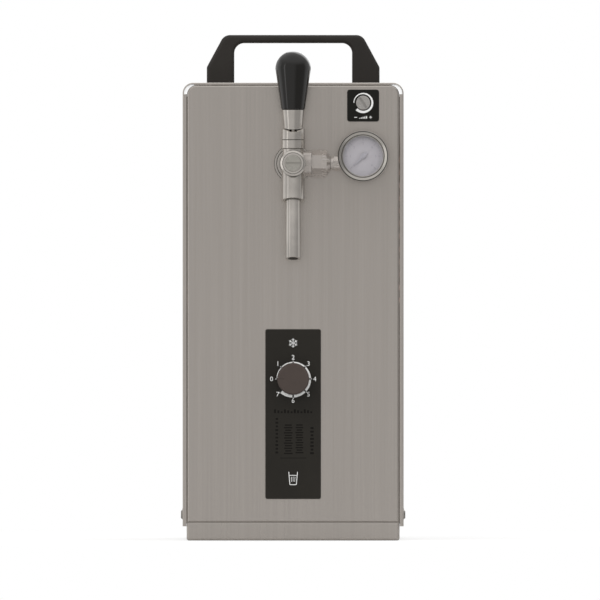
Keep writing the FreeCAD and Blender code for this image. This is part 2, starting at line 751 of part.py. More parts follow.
TEE_NOSE_L = 1.5           # spigot of the tee inside the tap's body


def union_nut():
    """Hexagonal nut with a tapered nose, which joins the gauge's stub to the tee."""
    start = out(BRANCH_OUT, BRANCH_END)
    end = out(BRANCH_OUT, UNION_END)
    nut = hexagon(UNION_ACROSS, start, end, UNION_TILT)
    flat = UNION_ACROSS / 2 * math.cos(math.radians(30))
    nose = cone(flat, STUB_R + 1.0, end, out(BRANCH_OUT, UNION_END + UNION_NOSE))
    round_off = lathe([(0, 0), (UNION_ACROSS / 2 - 0.9, 0), (UNION_ACROSS / 2 + 0.1, 0.9),
                       (UNION_ACROSS / 2 + 0.1, UNION_END - BRANCH_END - 0.9),
                       (UNION_ACROSS / 2 - 0.9, UNION_END - BRANCH_END),
                       (0, UNION_END - BRANCH_END)], start, X)
    socket_end = BRANCH_END + BRANCH_SPIGOT_L + STUB_FLANGE_T
    socket = rod(BRANCH_SPIGOT_R, out(BRANCH_OUT, BRANCH_END - 1), out(BRANCH_OUT, socket_end))
    bore = rod(STUB_R, out(BRANCH_OUT, 0), out(BRANCH_OUT, GAUGE_X))
    return fuse(nut.common(round_off), nose).cut(socket).cut(bore)


def gauge_stub():
    """Stub, hexagon and elbow that carry the gauge."""
    start_x = BRANCH_END + BRANCH_SPIGOT_L
    start = out(BRANCH_OUT, start_x)
    corner = out(BRANCH_OUT, GAUGE_X)
    flange = rod(BRANCH_SPIGOT_R, start, out(BRANCH_OUT, start_x + STUB_FLANGE_T))
    run = rod(STUB_R, start, corner)
    hex_x = UNION_END + UNION_NOSE + STUB_HEX_AT
    grip = hexagon(STUB_HEX_ACROSS, out(BRANCH_OUT, hex_x), out(BRANCH_OUT, hex_x + STUB_HEX_L), 8)
    elbow = Part.makeSphere(ELBOW_R, corner)
    nipple = rod(STUB_R, corner, out(GAUGE_BACK + 2, GAUGE_X))
    body = fuse(flange, run, grip, elbow, nipple)
    return cut(body, rod(STUB_BORE_R, out(BRANCH_OUT, start_x - 1), corner),
               rod(STUB_BORE_R, corner, out(GAUGE_BACK + 3, GAUGE_X)))


def tap_body():
    """Boss, neck and leaning barrel in one casting, with its bores."""
    boss = rod(BOSS_R, out(TEE_FRONT), out(BOSS_OUT - BOSS_BEVEL_T))
    bevel = cone(BOSS_R, BOSS_BEVEL_R, out(BOSS_OUT - BOSS_BEVEL_T), out(BOSS_OUT))
    boss = fuse(boss, bevel)
    neck = rod(NECK_R, tap_height(0), tap_height(COLLAR_LOW))
    collar = lathe([(0, 0), (COLLAR_R - COLLAR_EDGE, 0), (COLLAR_R, COLLAR_EDGE),
                    (COLLAR_R, COLLAR_MID - COLLAR_LOW - COLLAR_EDGE),
                    (COLLAR_R - COLLAR_EDGE, COLLAR_MID - COLLAR_LOW),
                    (0, COLLAR_MID - COLLAR_LOW)], tap_height(COLLAR_LOW))
    barrel = rod(BARREL_R, leaning(0), leaning(BARREL_DROP))
    body = fuse(boss, neck, barrel, collar)
    bore_r = PISTON_R + PISTON_GAP
    head_back = BOSS_OUT - COMP_HEAD_T
    spigot_foot = PIVOT_RISE + SPIGOT_FOOT
    joint = pipe(COLLAR_R + 1, COLLAR_R - 0.6, tap_height(COLLAR_MID - GROOVE_T),
                 tap_height(COLLAR_MID))
    foot = pipe(COLLAR_R + 1, NECK_R - 0.6, tap_height(COLLAR_LOW - GROOVE_T),
                tap_height(COLLAR_LOW))
    return cut(
        body, joint, foot, turned_line(BOSS_LINE, BOSS_OUT, 0.4),
        rod(bore_r, out(TEE_FRONT + TEE_NOSE_L), out(PISTON_STOP)),
        rod(TEE_SPIGOT_R, out(TEE_FRONT - 1), out(TEE_FRONT + TEE_NOSE_L)),
        rod(COMP_SHANK_R + FIT, out(PISTON_STOP - 1), out(head_back + 0.5)),
        rod(COMP_R, out(head_back), out(BOSS_OUT + 1)),
        rod(BALL_R + BALL_GAP, tap_height(1), tap_height(spigot_foot)),
        rod(SPIGOT_R, tap_height(spigot_foot), tap_height(COLLAR_MID + 1)),
        rod(SPOUT_BORE_R, leaning(0), leaning(BARREL_DROP + 1)),
        rod(SPOUT_SEAT_R, leaning(BARREL_DROP - SPOUT_SEAT), leaning(BARREL_DROP + 2)))


def ball_seat():
    """Ring under the lever's ball."""
    low = PIVOT_RISE - SEAT_LOW
    high = PIVOT_RISE - SEAT_HIGH
    ring = pipe(BALL_R + BALL_GAP, SEAT_HOLE_R, tap_height(low), tap_height(high))
    return ring.cut(Part.makeSphere(BALL_R + BALL_GAP, PIVOT))


def tap_bonnet():
    """Screwed cap over the ball, with a saddle-shaped top and a slot for the stem."""
    height = COLLAR_TOP - COLLAR_MID
    cap = lathe([(0, 0), (COLLAR_R - COLLAR_EDGE, 0), (COLLAR_R, COLLAR_EDGE),
                 (COLLAR_R, height - COLLAR_EDGE), (COLLAR_R - COLLAR_EDGE, height),
                 (0, height)], tap_height(COLLAR_MID))
    saddle_r = CONE_LOW - PIVOT_RISE - SADDLE_GAP
    across = at(COLLAR_R + 1, 0, 0)
    cap = cap.common(rod(saddle_r, PIVOT.sub(across), PIVOT.add(across)))
    spigot = rod(SPIGOT_R, tap_height(PIVOT_RISE + SPIGOT_FOOT), tap_height(COLLAR_MID + 1))
    half = STEM_R + STEM_GAP
    reach = saddle_r + 3
    corners = []
    for angle, side in ((LEVER_OPEN, -1), (-LEVER_BACK, 1)):
        tilt = math.radians(angle)
        along = at(0, -math.sin(tilt), math.cos(tilt))
        aside = at(0, math.cos(tilt), math.sin(tilt)).multiply(side * half)
        near = PIVOT.add(aside)
        far = near.add(at(*along).multiply(reach))
        corners.append((near, far))
    (front_near, front_far), (back_near, back_far) = corners
    fan = Part.makePolygon([front_near, front_far, back_far, back_near, front_near])
    slot = Part.Face(fan).extrude(at(2 * half, 0, 0))
    slot.translate(at(-half, 0, 0))
    return fuse(cap, spigot).cut(slot).cut(Part.makeSphere(BALL_R + BALL_GAP, PIVOT))


def tap_lever():
    """Ball lever: finger below the ball, stem and tapered ferrule above it.

    The ferrule's foot follows the bonnet's saddle, so no gap shows between them.
    """
    tip = PIVOT.sub(at(0, 0, FINGER_ARM))
    ball = Part.makeSphere(BALL_R, PIVOT)
    finger = rod(FINGER_R, tip, PIVOT)
    finger_tip = Part.makeSphere(FINGER_TIP_R, tip)
    stem = rod(STEM_R, PIVOT, tap_height(CONE_LOW + 1))
    ferrule = cone(CONE_LOW_R, CONE_TOP_R, tap_height(CONE_LOW), tap_height(CONE_TOP))
    skirt = rod(CONE_LOW_R, tap_height(PIVOT_RISE + SKIRT_LOW), tap_height(CONE_LOW + 0.5))
    across = at(CONE_LOW_R + 1, 0, 0)
    ferrule = fuse(ferrule, skirt.cut(rod(CONE_LOW - PIVOT_RISE, PIVOT.sub(across),
                                          PIVOT.add(across))))
    stud = rod(STUD_THREAD_R, tap_height(CONE_TOP - 1), tap_height(CONE_TOP + STUD_TOP))
    return fuse(ball, finger, finger_tip, stem, ferrule, stud)


def lever_knob():
    foot = CONE_TOP
    lip = 0.8
    crown = at(0, 0, KNOB_WAIST + KNOB_R)
    shoulder = at(KNOB_R, 0, KNOB_WAIST)
    middle = at(KNOB_R * math.sqrt(0.5), 0, KNOB_WAIST + KNOB_R * math.sqrt(0.5))
    edges = [
        Part.makeLine(at(0, 0, foot), at(KNOB_FOOT_R - lip, 0, foot)),
        Part.makeLine(at(KNOB_FOOT_R - lip, 0, foot), at(KNOB_FOOT_R, 0, foot + lip)),
        Part.makeLine(at(KNOB_FOOT_R, 0, foot + lip), shoulder),
        Part.Arc(shoulder, middle, crown).toShape(),
        Part.makeLine(crown, at(0, 0, foot)),
    ]
    knob = Part.Face(Part.Wire(edges)).revolve(ORIGIN, Z, 360)
    knob.translate(at(0, TAP_Y, TAP_Z))
    return knob.cut(rod(STUD_THREAD_R, tap_height(foot - 1), tap_height(foot + STUD_TOP)))


def tap_piston():
    piston = rod(PISTON_R, out(PISTON_BACK), out(PISTON_FRONT))
    tools = [pipe(PISTON_R + 1, GROOVE_R, out(place - GROOVE_W / 2), out(place + GROOVE_W / 2))
             for place in PISTON_GROOVES]
    half = PISTON_SLOT / 2
    tools.append(box(-PISTON_R, PISTON_R, TAP_Y - half, TAP_Y + half,
                     TAP_Z - NOTCH_FLOOR, TAP_Z + PISTON_R + 1))
    return cut(piston, *tools)


def piston_seals():
    return [Part.makeTorus(PISTON_R - SEAL_R - FIT, SEAL_R, out(place), Y)
            for place in PISTON_GROOVES]


def flow_screw():
    """Slotted screw in the front boss, which sets how far the piston lets beer through."""
    head_back = BOSS_OUT - COMP_HEAD_T
    face = BOSS_OUT + COMP_PROUD
    head = rod(COMP_R - 2 * FIT, out(head_back + FIT), out(face))
    head = soften(head, 0.4, lambda edge: edge.BoundBox.YMax < out(face).y + 0.01)
    shank = rod(COMP_SHANK_R, out(PISTON_STOP + CLEAR), out(head_back + 1))
    half = COMP_SLOT_W / 2
    slot = box(-COMP_R * 0.9, COMP_R * 0.9, out(face + 1).y, out(face - 0.6).y,
               TAP_Z - half, TAP_Z + half)
    return fuse(head, shank).cut(slot)


def tap_spout():
    tube_wall = rod(SPOUT_R, leaning(BARREL_DROP), leaning(SPOUT_DROP))
    spigot = rod(SPOUT_SEAT_R, leaning(BARREL_DROP - SPOUT_SEAT), leaning(BARREL_DROP + 1))
    bore = rod(SPOUT_BORE_R, leaning(0), leaning(SPOUT_DROP + 1))
    return fuse(tube_wall, spigot).cut(bore)


def on_gauge(distance, radius=0.0, angle=0.0):
    """Point at a radius and a clock angle, in degrees clockwise from 12, on the gauge."""
    turn = math.radians(angle)
    return out(distance, GAUGE_X + radius * math.sin(turn), GAUGE_Z + radius * math.cos(turn))


GAUGE_CASE_R = 16.6
GAUGE_RIM = 42.0           # front rim of the gauge's case
DIAL_SEAT = 39.0           # back of the dial
ARBOR_R = 0.7
POINTER_T = 0.4
POINTER_HUB_R = 1.7
POINTER_REST = 225.0       # clock angle of the pointer at rest
BOURDON_R = 11.0
BOURDON_TUBE_R = 1.5


def gauge_case():
    inside = GAUGE_CASE_R - GAUGE_WALL
    cup = rod(GAUGE_CASE_R, on_gauge(GAUGE_BACK), on_gauge(GAUGE_RIM))
    cup = soften(cup, 1.5, lambda edge: edge.BoundBox.YMin > out(GAUGE_BACK).y - 0.01)
    cup = cup.cut(rod(inside, on_gauge(GAUGE_BACK + GAUGE_WALL), on_gauge(GAUGE_RIM + 1)))
    ledge = pipe(inside + 0.2, GAUGE_DIAL_R + 0.1, on_gauge(DIAL_SEAT - 1), on_gauge(DIAL_SEAT))
    grip = hexagon(2 * ELBOW_R, out(BRANCH_OUT + ELBOW_R - 1.2, GAUGE_X), out(GAUGE_BACK + 1, GAUGE_X))
    socket = rod(STUB_R + 1.4, out(GAUGE_BACK, GAUGE_X), out(GAUGE_BACK + 5, GAUGE_X))
    body = fuse(cup, ledge, grip, socket)
    bore = rod(STUB_R, out(0, GAUGE_X), out(GAUGE_BACK + 2, GAUGE_X))
    fine = rod(STUB_BORE_R, out(0, GAUGE_X), out(GAUGE_BACK + 4, GAUGE_X))
    return cut(body, bore, fine, Part.makeSphere(ELBOW_R, out(BRANCH_OUT, GAUGE_X)))


def gauge_bezel():
    lens_front = GAUGE_RIM + GAUGE_LENS_T
    start = GAUGE_FRONT - GAUGE_BEZEL_L
    slope = GAUGE_FRONT - 1.1
    return lathe([(GAUGE_CASE_R, start), (GAUGE_R, start), (GAUGE_R, GAUGE_FRONT - 0.6),
                  (GAUGE_R - 0.25, GAUGE_FRONT - 0.2), (GAUGE_R - 0.25, GAUGE_FRONT - 0.8),
                  (GAUGE_R - 0.65, GAUGE_FRONT - 0.8), (GAUGE_R - 0.65, GAUGE_FRONT),
                  (GAUGE_DIAL_R + 1.0, slope), (GAUGE_DIAL_R + 1.0, slope - 0.5),
                  (GAUGE_DIAL_R + 0.6, slope - 0.5), (GAUGE_DIAL_R + 0.6, slope - 0.2),
                  (GAUGE_DIAL_R, slope - 0.4), (GAUGE_DIAL_R, lens_front),
                  (GAUGE_CASE_R, lens_front)], on_gauge(0), at(0, -1, 0))


def gauge_movement():
    """Block that carries the pointer's arbor, on a post from the socket."""
    front = DIAL_SEAT - 1.5
    block = box(GAUGE_X - 5, GAUGE_X + 5, out(GAUGE_BACK + 5).y, out(front).y,
                GAUGE_Z - 3, GAUGE_Z + 4)
    foot = box(GAUGE_X - 3, GAUGE_X + 3, out(GAUGE_BACK + 5).y, out(GAUGE_BACK + 8).y,
               TAP_Z - 3, GAUGE_Z)
    bore = rod(ARBOR_R + FIT, on_gauge(GAUGE_BACK + 4), on_gauge(front + 1))
    return fuse(block, foot).cut(bore)


def bourdon_tube():
    """Bent tube that uncurls with pressure, from the socket's foot to its free tip."""
    middle = GAUGE_BACK + 6.5
    ring = Part.Face(Part.Wire([Part.makeCircle(BOURDON_TUBE_R, on_gauge(middle, BOURDON_R, 180), X)]))
    bend = ring.revolve(on_gauge(middle), Y, 250)
    foot = box(GAUGE_X - 2, GAUGE_X + 2, out(middle - 1.5).y, out(middle + 1.5).y,
               GAUGE_Z - BOURDON_R - 1.2, TAP_Z - 3)
    return fuse(bend, foot)


def gauge_pointer():
    front = DIAL_SEAT + GAUGE_DIAL_T + 0.8
    arbor = rod(ARBOR_R, on_gauge(GAUGE_BACK + 7), on_gauge(front + 0.5))
    hub = rod(POINTER_HUB_R, on_gauge(front - 0.2), on_gauge(front + POINTER_T + 0.5))
    tip = on_gauge(front, POINTER_L, POINTER_REST)
    tail = 4.0
    points = [tip]
    for side in (1, -1):
        wide = on_gauge(front, 1.1, POINTER_REST + side * 90)
        back = on_gauge(front, tail, POINTER_REST + 180 - side * 14)
        points += [wide, back] if side == 1 else [back, wide]
    blade = Part.Face(Part.makePolygon(points + [tip])).extrude(at(0, -POINTER_T, 0))
    return fuse(arbor, hub, blade)


def gauge_dial():
    disc = rod(GAUGE_CASE_R - GAUGE_WALL, on_gauge(DIAL_SEAT), on_gauge(DIAL_SEAT + GAUGE_DIAL_T))
    return disc.cut(rod(ARBOR_R + CLEAR, on_gauge(0), on_gauge(GAUGE_FRONT)))


def build_tap():
    keep("wall_flange", wall_flange())
    keep("tap_shank", tap_shank())
    keep("gauge_tee", gauge_tee())
    keep("union_nut", union_nut())
    keep("gauge_stub", gauge_stub())
    keep("tap_body", tap_body())
    keep("ball_seat", ball_seat())
    keep("tap_bonnet", tap_bonnet())
    keep("tap_lever", tap_lever())
    keep("lever_knob", lever_knob())
    keep("tap_piston", tap_piston())
    keep("piston_seals", *piston_seals())
    keep("flow_screw", flow_screw())
    keep("tap_spout", tap_spout())
    keep("gauge_case", gauge_case())
    keep("gauge_bezel", gauge_bezel())
    keep("gauge_lens", rod(GAUGE_CASE_R, on_gauge(GAUGE_RIM), on_gauge(GAUGE_RIM + GAUGE_LENS_T)))
    keep("gauge_dial", gauge_dial())
    keep("gauge_movement", gauge_movement(), bourdon_tube())
    keep("gauge_pointer", gauge_pointer())


# ---------------------------------------------------------------- front controls
KNOB_GAP = 0.6             # gap between the thermostat knob and its plate
KNOB_TEETH = 64
KNOB_TOOTH = 0.3
KNOB_SHELL = 2.0
DIAL_HUB_R = 5.0
THERMO_W = 46.0            # thermostat's housing behind the panel
THERMO_H = 34.0
THERMO_D = 26.0
REG_PROUD = 1.6            # face of the regulator screw, forward of the panel
REG_BODY_R = 10.0
REG_BODY_L = 24.0
REG_SPINDLE_L = 12.0
BARB_R = 3.0
BARB_L = 9.0
REG_BARBS = (9.0, 19.0)    # regulator's two hose barbs, behind the panel
BULB_R = 1.2               # thermostat's capillary


def inside(depth, x, z):
    """Point at a depth behind the front panel's face."""
    return at(x, FRONT + depth, z)


def control_plate():
    plate = slab(PLATE_W / 2, PLATE_LOW, PLATE_HIGH, PLATE_R, FRONT, FRONT - PLATE_T)
    return plate.cut(rod(DIAL_BUSH_R, inside(-2, 0, DIAL_Z), inside(1, 0, DIAL_Z)))


def thermostat_knob():
    foot = PLATE_T + KNOB_GAP
    points = []
    for number in range(2 * KNOB_TEETH):
        radius = DIAL_KNOB_R - KNOB_TOOTH * (number % 2)
        turn = math.pi * number / KNOB_TEETH
        points.append(inside(-foot, radius * math.cos(turn), DIAL_Z + radius * math.sin(turn)))
    star = Part.Face(Part.makePolygon(points + points[:1])).extrude(at(0, -DIAL_KNOB_H, 0))
    rim = DIAL_KNOB_R + 0.1
    round_off = lathe([(0, 0), (rim, 0), (rim, DIAL_KNOB_H - 1.2), (rim - 1.2, DIAL_KNOB_H),
                       (0, DIAL_KNOB_H)], inside(-foot, 0, DIAL_Z), at(0, -1, 0))
    body = star.common(round_off)
    hollow = pipe(DIAL_KNOB_R - KNOB_SHELL, DIAL_HUB_R, inside(-foot + 1, 0, DIAL_Z),
                  inside(-foot - DIAL_KNOB_H + KNOB_SHELL, 0, DIAL_Z))
    front_mark = box(-DIAL_KNOB_R * 0.93, -DIAL_KNOB_R * 0.55,
                     FRONT - foot - DIAL_KNOB_H + 0.4, FRONT - foot - DIAL_KNOB_H - 1,
                     DIAL_Z - 0.5, DIAL_Z + 0.5)
    bore = rod(DIAL_SHAFT_R, inside(1, 0, DIAL_Z), inside(-foot - DIAL_KNOB_H + 4, 0, DIAL_Z))
    return cut(body, hollow, bore, front_mark)


def thermostat_shaft():
    end = PLATE_T + KNOB_GAP + DIAL_KNOB_H - 4
    return rod(DIAL_SHAFT_R, inside(8, 0, DIAL_Z), inside(-end, 0, DIAL_Z))


def thermostat_body():
    back = SHEET + THERMO_D
    housing = slab(THERMO_W / 2, DIAL_Z - THERMO_H / 2, DIAL_Z + THERMO_H / 2, 3.0,
                   FRONT + SHEET, FRONT + back)
    bush = rod(DIAL_BUSH_R, inside(SHEET + 1, 0, DIAL_Z), inside(-PLATE_T, 0, DIAL_Z))
    bore = rod(DIAL_SHAFT_R + FIT, inside(8 + CLEAR, 0, DIAL_Z), inside(-PLATE_T - 1, 0, DIAL_Z))
    return fuse(housing, bush).cut(bore)


def sensor_capillary():
    """Thin tube from the thermostat to the face of the cooling block."""
    x = THERMO_W / 4
    depth = SHEET + THERMO_D / 2
    top = DIAL_Z + THERMO_H / 2
    port = BLOCK_LOW + SENSOR_RISE
    return tube([inside(depth, x, top), inside(depth, x, port), at(x, BLOCK_FRONT, port)],
                BULB_R, 8.0)


def regulator_plate():
    half = REG_PLATE / 2
    plate = slab(half, REG_PLATE_Z - half, REG_PLATE_Z + half, REG_PLATE_R,
                 FRONT, FRONT - PLATE_T, REG_X)
    return plate.cut(rod(REG_SCREW_R + CLEAR, inside(-2, REG_X, REG_Z), inside(1, REG_X, REG_Z)))


def regulator_screw():
    disc = rod(REG_SCREW_R, inside(REG_SPINDLE_L, REG_X, REG_Z), inside(-REG_PROUD, REG_X, REG_Z))
    disc = soften(disc, 0.4, lambda edge: edge.BoundBox.YMax < FRONT - REG_PROUD + 0.01)
    reach = REG_SCREW_R * 0.86
    half = REG_SLOT_W / 2
    slot = box(REG_X - half, REG_X + half, FRONT - REG_PROUD - 1, FRONT - REG_PROUD + 1.2,
               REG_Z - reach, REG_Z + reach)
    return disc.cut(spin(slot, -REG_SLOT_TILT, inside(0, REG_X, REG_Z), Y))


def regulator_body():
    """Pressure regulator behind the panel, with a neck round the screw and two barbs."""
    def depth(value):
        return inside(value, REG_X, REG_Z)
    flange = rod(REG_BODY_R + 0.2, depth(SHEET), depth(SHEET + 2.5))
    body = rod(REG_BODY_R, depth(SHEET), depth(SHEET + REG_BODY_L))
    neck = rod(REG_NUT_R, depth(0), depth(SHEET + 1))
    barbs = [rod(BARB_R, inside(place, REG_X, REG_Z - REG_BODY_R + 2),
                 inside(place, REG_X, REG_Z - REG_BODY_R - BARB_L)) for place in REG_BARBS]
    whole = fuse(flange, body, neck, *barbs)
    bore = rod(REG_SCREW_R + FIT, depth(-1), depth(REG_SPINDLE_L + CLEAR))
    return whole.cut(bore)


def build_controls():
    keep("control_plate", control_plate())
    keep("thermostat_knob", thermostat_knob())
    keep("thermostat_shaft", thermostat_shaft())
    keep("thermostat_body", fuse(thermostat_body(), sensor_capillary()))
    keep("regulator_plate", regulator_plate())
    keep("regulator_screw", regulator_screw())
    keep("regulator_body", regulator_body())


# ---------------------------------------------------------------- rear panel's fittings
FITTING_BODY_L = 9.5       # fitting's body outside the panel
FITTING_IN = 22.0          # and inside it
COLLET_SLEEVE_R = 5.4
COLLET_BORE_R = 4.3
COLLET_IN = 1.0            # sleeve's inner end, behind the panel's face
SOCKET_END = 14.0          # bottom of the hose socket, behind the panel's face
PIN_W = 4.0
PIN_T = 2.0
PIN_L = 14.0
ROCKER_W = 14.0
ROCKER_H = 10.0
SWITCH_D = 17.0
FLANGE_T = 1.6


def behind(distance, x, z):
    """Point at a distance out of the rear panel's face."""
    return at(x, REAR + distance, z)


def fitting(x):
    """Push-in hose fitting without its collet."""
    def place(distance):
        return behind(distance, x, FITTING_Z)
    head = rod(FITTING_R, place(0), place(FITTING_BODY_L))
    head = soften(head, 0.8, lambda edge: edge.BoundBox.YMin > REAR + FITTING_BODY_L - 0.01)
    neck = rod(FITTING_NECK_R, place(1), place(-FITTING_IN))
    collet_room = rod(COLLET_SLEEVE_R + FIT, place(-COLLET_IN - COLLET_TRAVEL - CLEAR),
                      place(FITTING_BODY_L + 1))
    socket = rod(HOSE_SOCKET_R, place(-SOCKET_END), place(0))
    way = rod(HOSE_R - 1.2, place(-FITTING_IN - 1), place(0))
    return cut(fuse(head, neck), collet_room, socket, way)


def collet(x):
    def place(distance):
        return behind(distance, x, FITTING_Z)
    ring_back = FITTING_BODY_L + COLLET_TRAVEL + 0.2
    sleeve = rod(COLLET_SLEEVE_R, place(-COLLET_IN), place(ring_back + 0.5))
    ring = rod(COLLET_R, place(ring_back), place(FITTING_OUT))
    return fuse(sleeve, ring).cut(rod(COLLET_BORE_R, place(-5), place(FITTING_OUT + 1)))


def fitting_nut(x):
    start = behind(-SHEET, x, FITTING_Z)
    end = behind(-SHEET - 5, x, FITTING_Z)
    nut = hexagon(2.5 * FITTING_NECK_R, start, end)
    return nut.cut(rod(FITTING_NECK_R, start.add(Y), end.sub(Y)))


def mains_inlet():
    """Recessed inlet with three blades and a flange outside the panel."""
    low = INLET_Z - INLET_H / 2
    high = INLET_Z + INLET_H / 2
    shell = slab(INLET_W / 2, low, high, 2.0, REAR - INLET_DEPTH - 2, REAR + 0.5, INLET_X)
    rim = slab(INLET_W / 2 + 3, low - 3, high + 3, 2.0, REAR, REAR + FLANGE_T, INLET_X)
    hollow = slab(INLET_W / 2 - 1.8, low + 1.8, high - 1.8, 3.0, REAR - INLET_DEPTH,
                  REAR + FLANGE_T + 1, INLET_X)
    body = fuse(shell, rim).cut(hollow)
    blades = []
    for dx, dz in ((-7, -2), (0, 2), (7, -2)):
        x = INLET_X + dx
        z = INLET_Z + dz
        blades.append(box(x - PIN_T / 2, x + PIN_T / 2, REAR - INLET_DEPTH - 8,
                          REAR - INLET_DEPTH + PIN_L, z - PIN_W / 2, z + PIN_W / 2))
    return fuse(body, *blades)


def switch_body(x):
    low = SWITCH_Z - SWITCH_H / 2
    high = SWITCH_Z + SWITCH_H / 2
    shell = slab(SWITCH_W / 2, low, high, 1.0, REAR - SWITCH_D, REAR + 0.5, x)
    rim = slab(SWITCH_W / 2 + 1.5, low - 1.5, high + 1.5, 1.5, REAR, REAR + FLANGE_T, x)
    mouth = slab(ROCKER_W / 2 + CLEAR, SWITCH_Z - ROCKER_H / 2 - CLEAR,
                 SWITCH_Z + ROCKER_H / 2 + CLEAR, 0.5, REAR - 9, REAR + FLANGE_T + 1, x)
    pin = rod(1.0, behind(-3, x - SWITCH_W / 2 + 1, SWITCH_Z), behind(-3, x + SWITCH_W / 2 - 1, SWITCH_Z))
    return fuse(fuse(shell, rim).cut(mouth), pin)


def rocker(x):
    """Rocker on the switch's pin, at rest tilted to one side: switched off."""
    pivot = behind(-3, x, SWITCH_Z)
    half = ROCKER_H / 2
    lift = FLANGE_T + 2.4
    tilt = math.tan(math.radians(ROCKER_TRAVEL))
    corners = [
        at(0, REAR - 5.4, SWITCH_Z - 2.2), at(0, REAR - 5.4, SWITCH_Z + 2.2),
        at(0, REAR - 1.5, SWITCH_Z + half - 0.6),
        at(0, REAR + lift - 0.4, SWITCH_Z + half - 1.3),
        at(0, REAR + lift - 0.4 - (half - 1.3) * tilt, SWITCH_Z),
        at(0, REAR + lift - 0.4, SWITCH_Z - half + 1.3),
        at(0, REAR - 1.5, SWITCH_Z - half + 0.6),
    ]
    face = Part.Face(Part.makePolygon(corners + corners[:1]))
    body = face.extrude(at(ROCKER_W, 0, 0))
    body.translate(at(x - ROCKER_W / 2, 0, 0))
    bore = rod(1.0 + FIT, pivot.sub(at(SWITCH_W, 0, 0)), pivot.add(at(SWITCH_W, 0, 0)))
    return spin(body.cut(bore), -ROCKER_TRAVEL, pivot, X)


def fan_frame():
    y0 = REAR - SHEET - FAN_T
    half = FAN_SIZE / 2
    frame = slab(half, FAN_Z - half, FAN_Z + half, 6.0, y0, REAR - SHEET)
    through = rod(FAN_HOLE_R, at(0, y0 - 1, FAN_Z), at(0, REAR, FAN_Z))
    waist = half - 5
    relief = slab(half + 1, FAN_Z - waist, FAN_Z + waist, 4.0, y0 + 3, REAR - SHEET - 3)
    relief = relief.cut(rod(FAN_HOLE_R + 1.6, at(0, y0, FAN_Z), at(0, REAR, FAN_Z)))
    frame = cut(frame, through, relief)
    spokes = []
    for number in range(4):
        bar = box(FAN_HUB_R - 2, FAN_HOLE_R + 1, y0, y0 + 2, FAN_Z - 2, FAN_Z + 2)
        spokes.append(spin(bar, 45 + 90 * number, at(0, 0, FAN_Z), Y))
    motor = rod(FAN_HUB_R, at(0, y0, FAN_Z), at(0, y0 + 2, FAN_Z))
    bearing = rod(4.0, at(0, y0, FAN_Z), at(0, y0 + 5, FAN_Z))
    frame = fuse(frame, motor, bearing, *spokes)
    holes = [rod(FAN_SCREW_R, at(x, y0 - 1, z), at(x, REAR, z)) for x, z in fan_screw_places()]
    holes.append(rod(1.5 + FIT, at(0, y0 + 1, FAN_Z), at(0, REAR, FAN_Z)))
    return cut(frame, *holes)


def fan_screw_places():
    """Yields X and Z of the fan's corner screws."""
    for x in (-FAN_PITCH / 2, FAN_PITCH / 2):
        for z in (FAN_Z - FAN_PITCH / 2, FAN_Z + FAN_PITCH / 2):
            yield x, z


def fan_rotor():
    y0 = REAR - SHEET - FAN_T + 2.6
    y1 = REAR - SHEET - 1.2
    cup = rod(FAN_HUB_R, at(0, y0, FAN_Z), at(0, y1, FAN_Z))
    cup = cup.cut(rod(FAN_HUB_R - 1.5, at(0, y0 - 1, FAN_Z), at(0, y1 - 2, FAN_Z)))
    shaft = rod(1.5, at(0, y0 - 1, FAN_Z), at(0, y1 - 1, FAN_Z))
    tip = FAN_HOLE_R - FAN_BLADE_GAP
    blades = []
    middle = (y0 + y1) / 2
    for number in range(FAN_BLADES):
        plate = box(-14, 14, middle - 0.8, middle + 0.8, FAN_HUB_R - 1, tip + 5)
        plate = spin(plate, 32, at(0, middle, 0), Z)
        plate.translate(at(0, 0, FAN_Z))
        blades.append(spin(plate, 360 / FAN_BLADES * number, at(0, 0, FAN_Z), Y))
    ring = pipe(tip, FAN_HUB_R - 0.8, at(0, y0, FAN_Z), at(0, y1, FAN_Z))
    trimmed = [blade.common(ring) for blade in blades]
    return fuse(cup, shaft, *trimmed)


def fan_grille():
    """Guard of concentric rings, four struts and four ears, flat on the rear panel."""
    y0 = REAR
    y1 = REAR + GRILLE_T
    reach = FAN_PITCH / 2 * math.sqrt(2)
    step = (FAN_HOLE_R - 2 - 10) / (GRILLE_RINGS - 1)
    parts = []
    for number in range(GRILLE_RINGS):
        radius = 10 + step * number
        parts.append(pipe(radius + GRILLE_WIRE, radius - GRILLE_WIRE, at(0, y0, FAN_Z),
                          at(0, y1, FAN_Z)))
    for number in range(4):
        bar = box(8, reach, y0, y1, FAN_Z - GRILLE_WIRE, FAN_Z + GRILLE_WIRE)
        parts.append(spin(bar, 45 + 90 * number, at(0, 0, FAN_Z), Y))
    parts += [rod(FAN_SCREW_R * 2.2, at(x, y0, z), at(x, y1, z)) for x, z in fan_screw_places()]
    holes = [rod(FAN_SCREW_R, at(x, y0 - 1, z), at(x, y1 + 1, z)) for x, z in fan_screw_places()]
    return cut(fuse(*parts), *holes)


def fan_screws():
    screws = []
    for x, z in fan_screw_places():
        head = rod(FAN_SCREW_R * 1.8, behind(GRILLE_T, x, z), behind(GRILLE_T + 1.8, x, z))
        head = soften(head, 0.9, lambda edge: edge.BoundBox.YMin > REAR + GRILLE_T + 1.7)
        shank = rod(FAN_SCREW_R, behind(GRILLE_T + 0.5, x, z), behind(-SHEET - FAN_T, x, z))
        slot = box(x - 2.4, x + 2.4, REAR + GRILLE_T + 1, REAR + GRILLE_T + 3, z - 0.4, z + 0.4)
        screws.append(fuse(head, shank).cut(slot))
    return screws


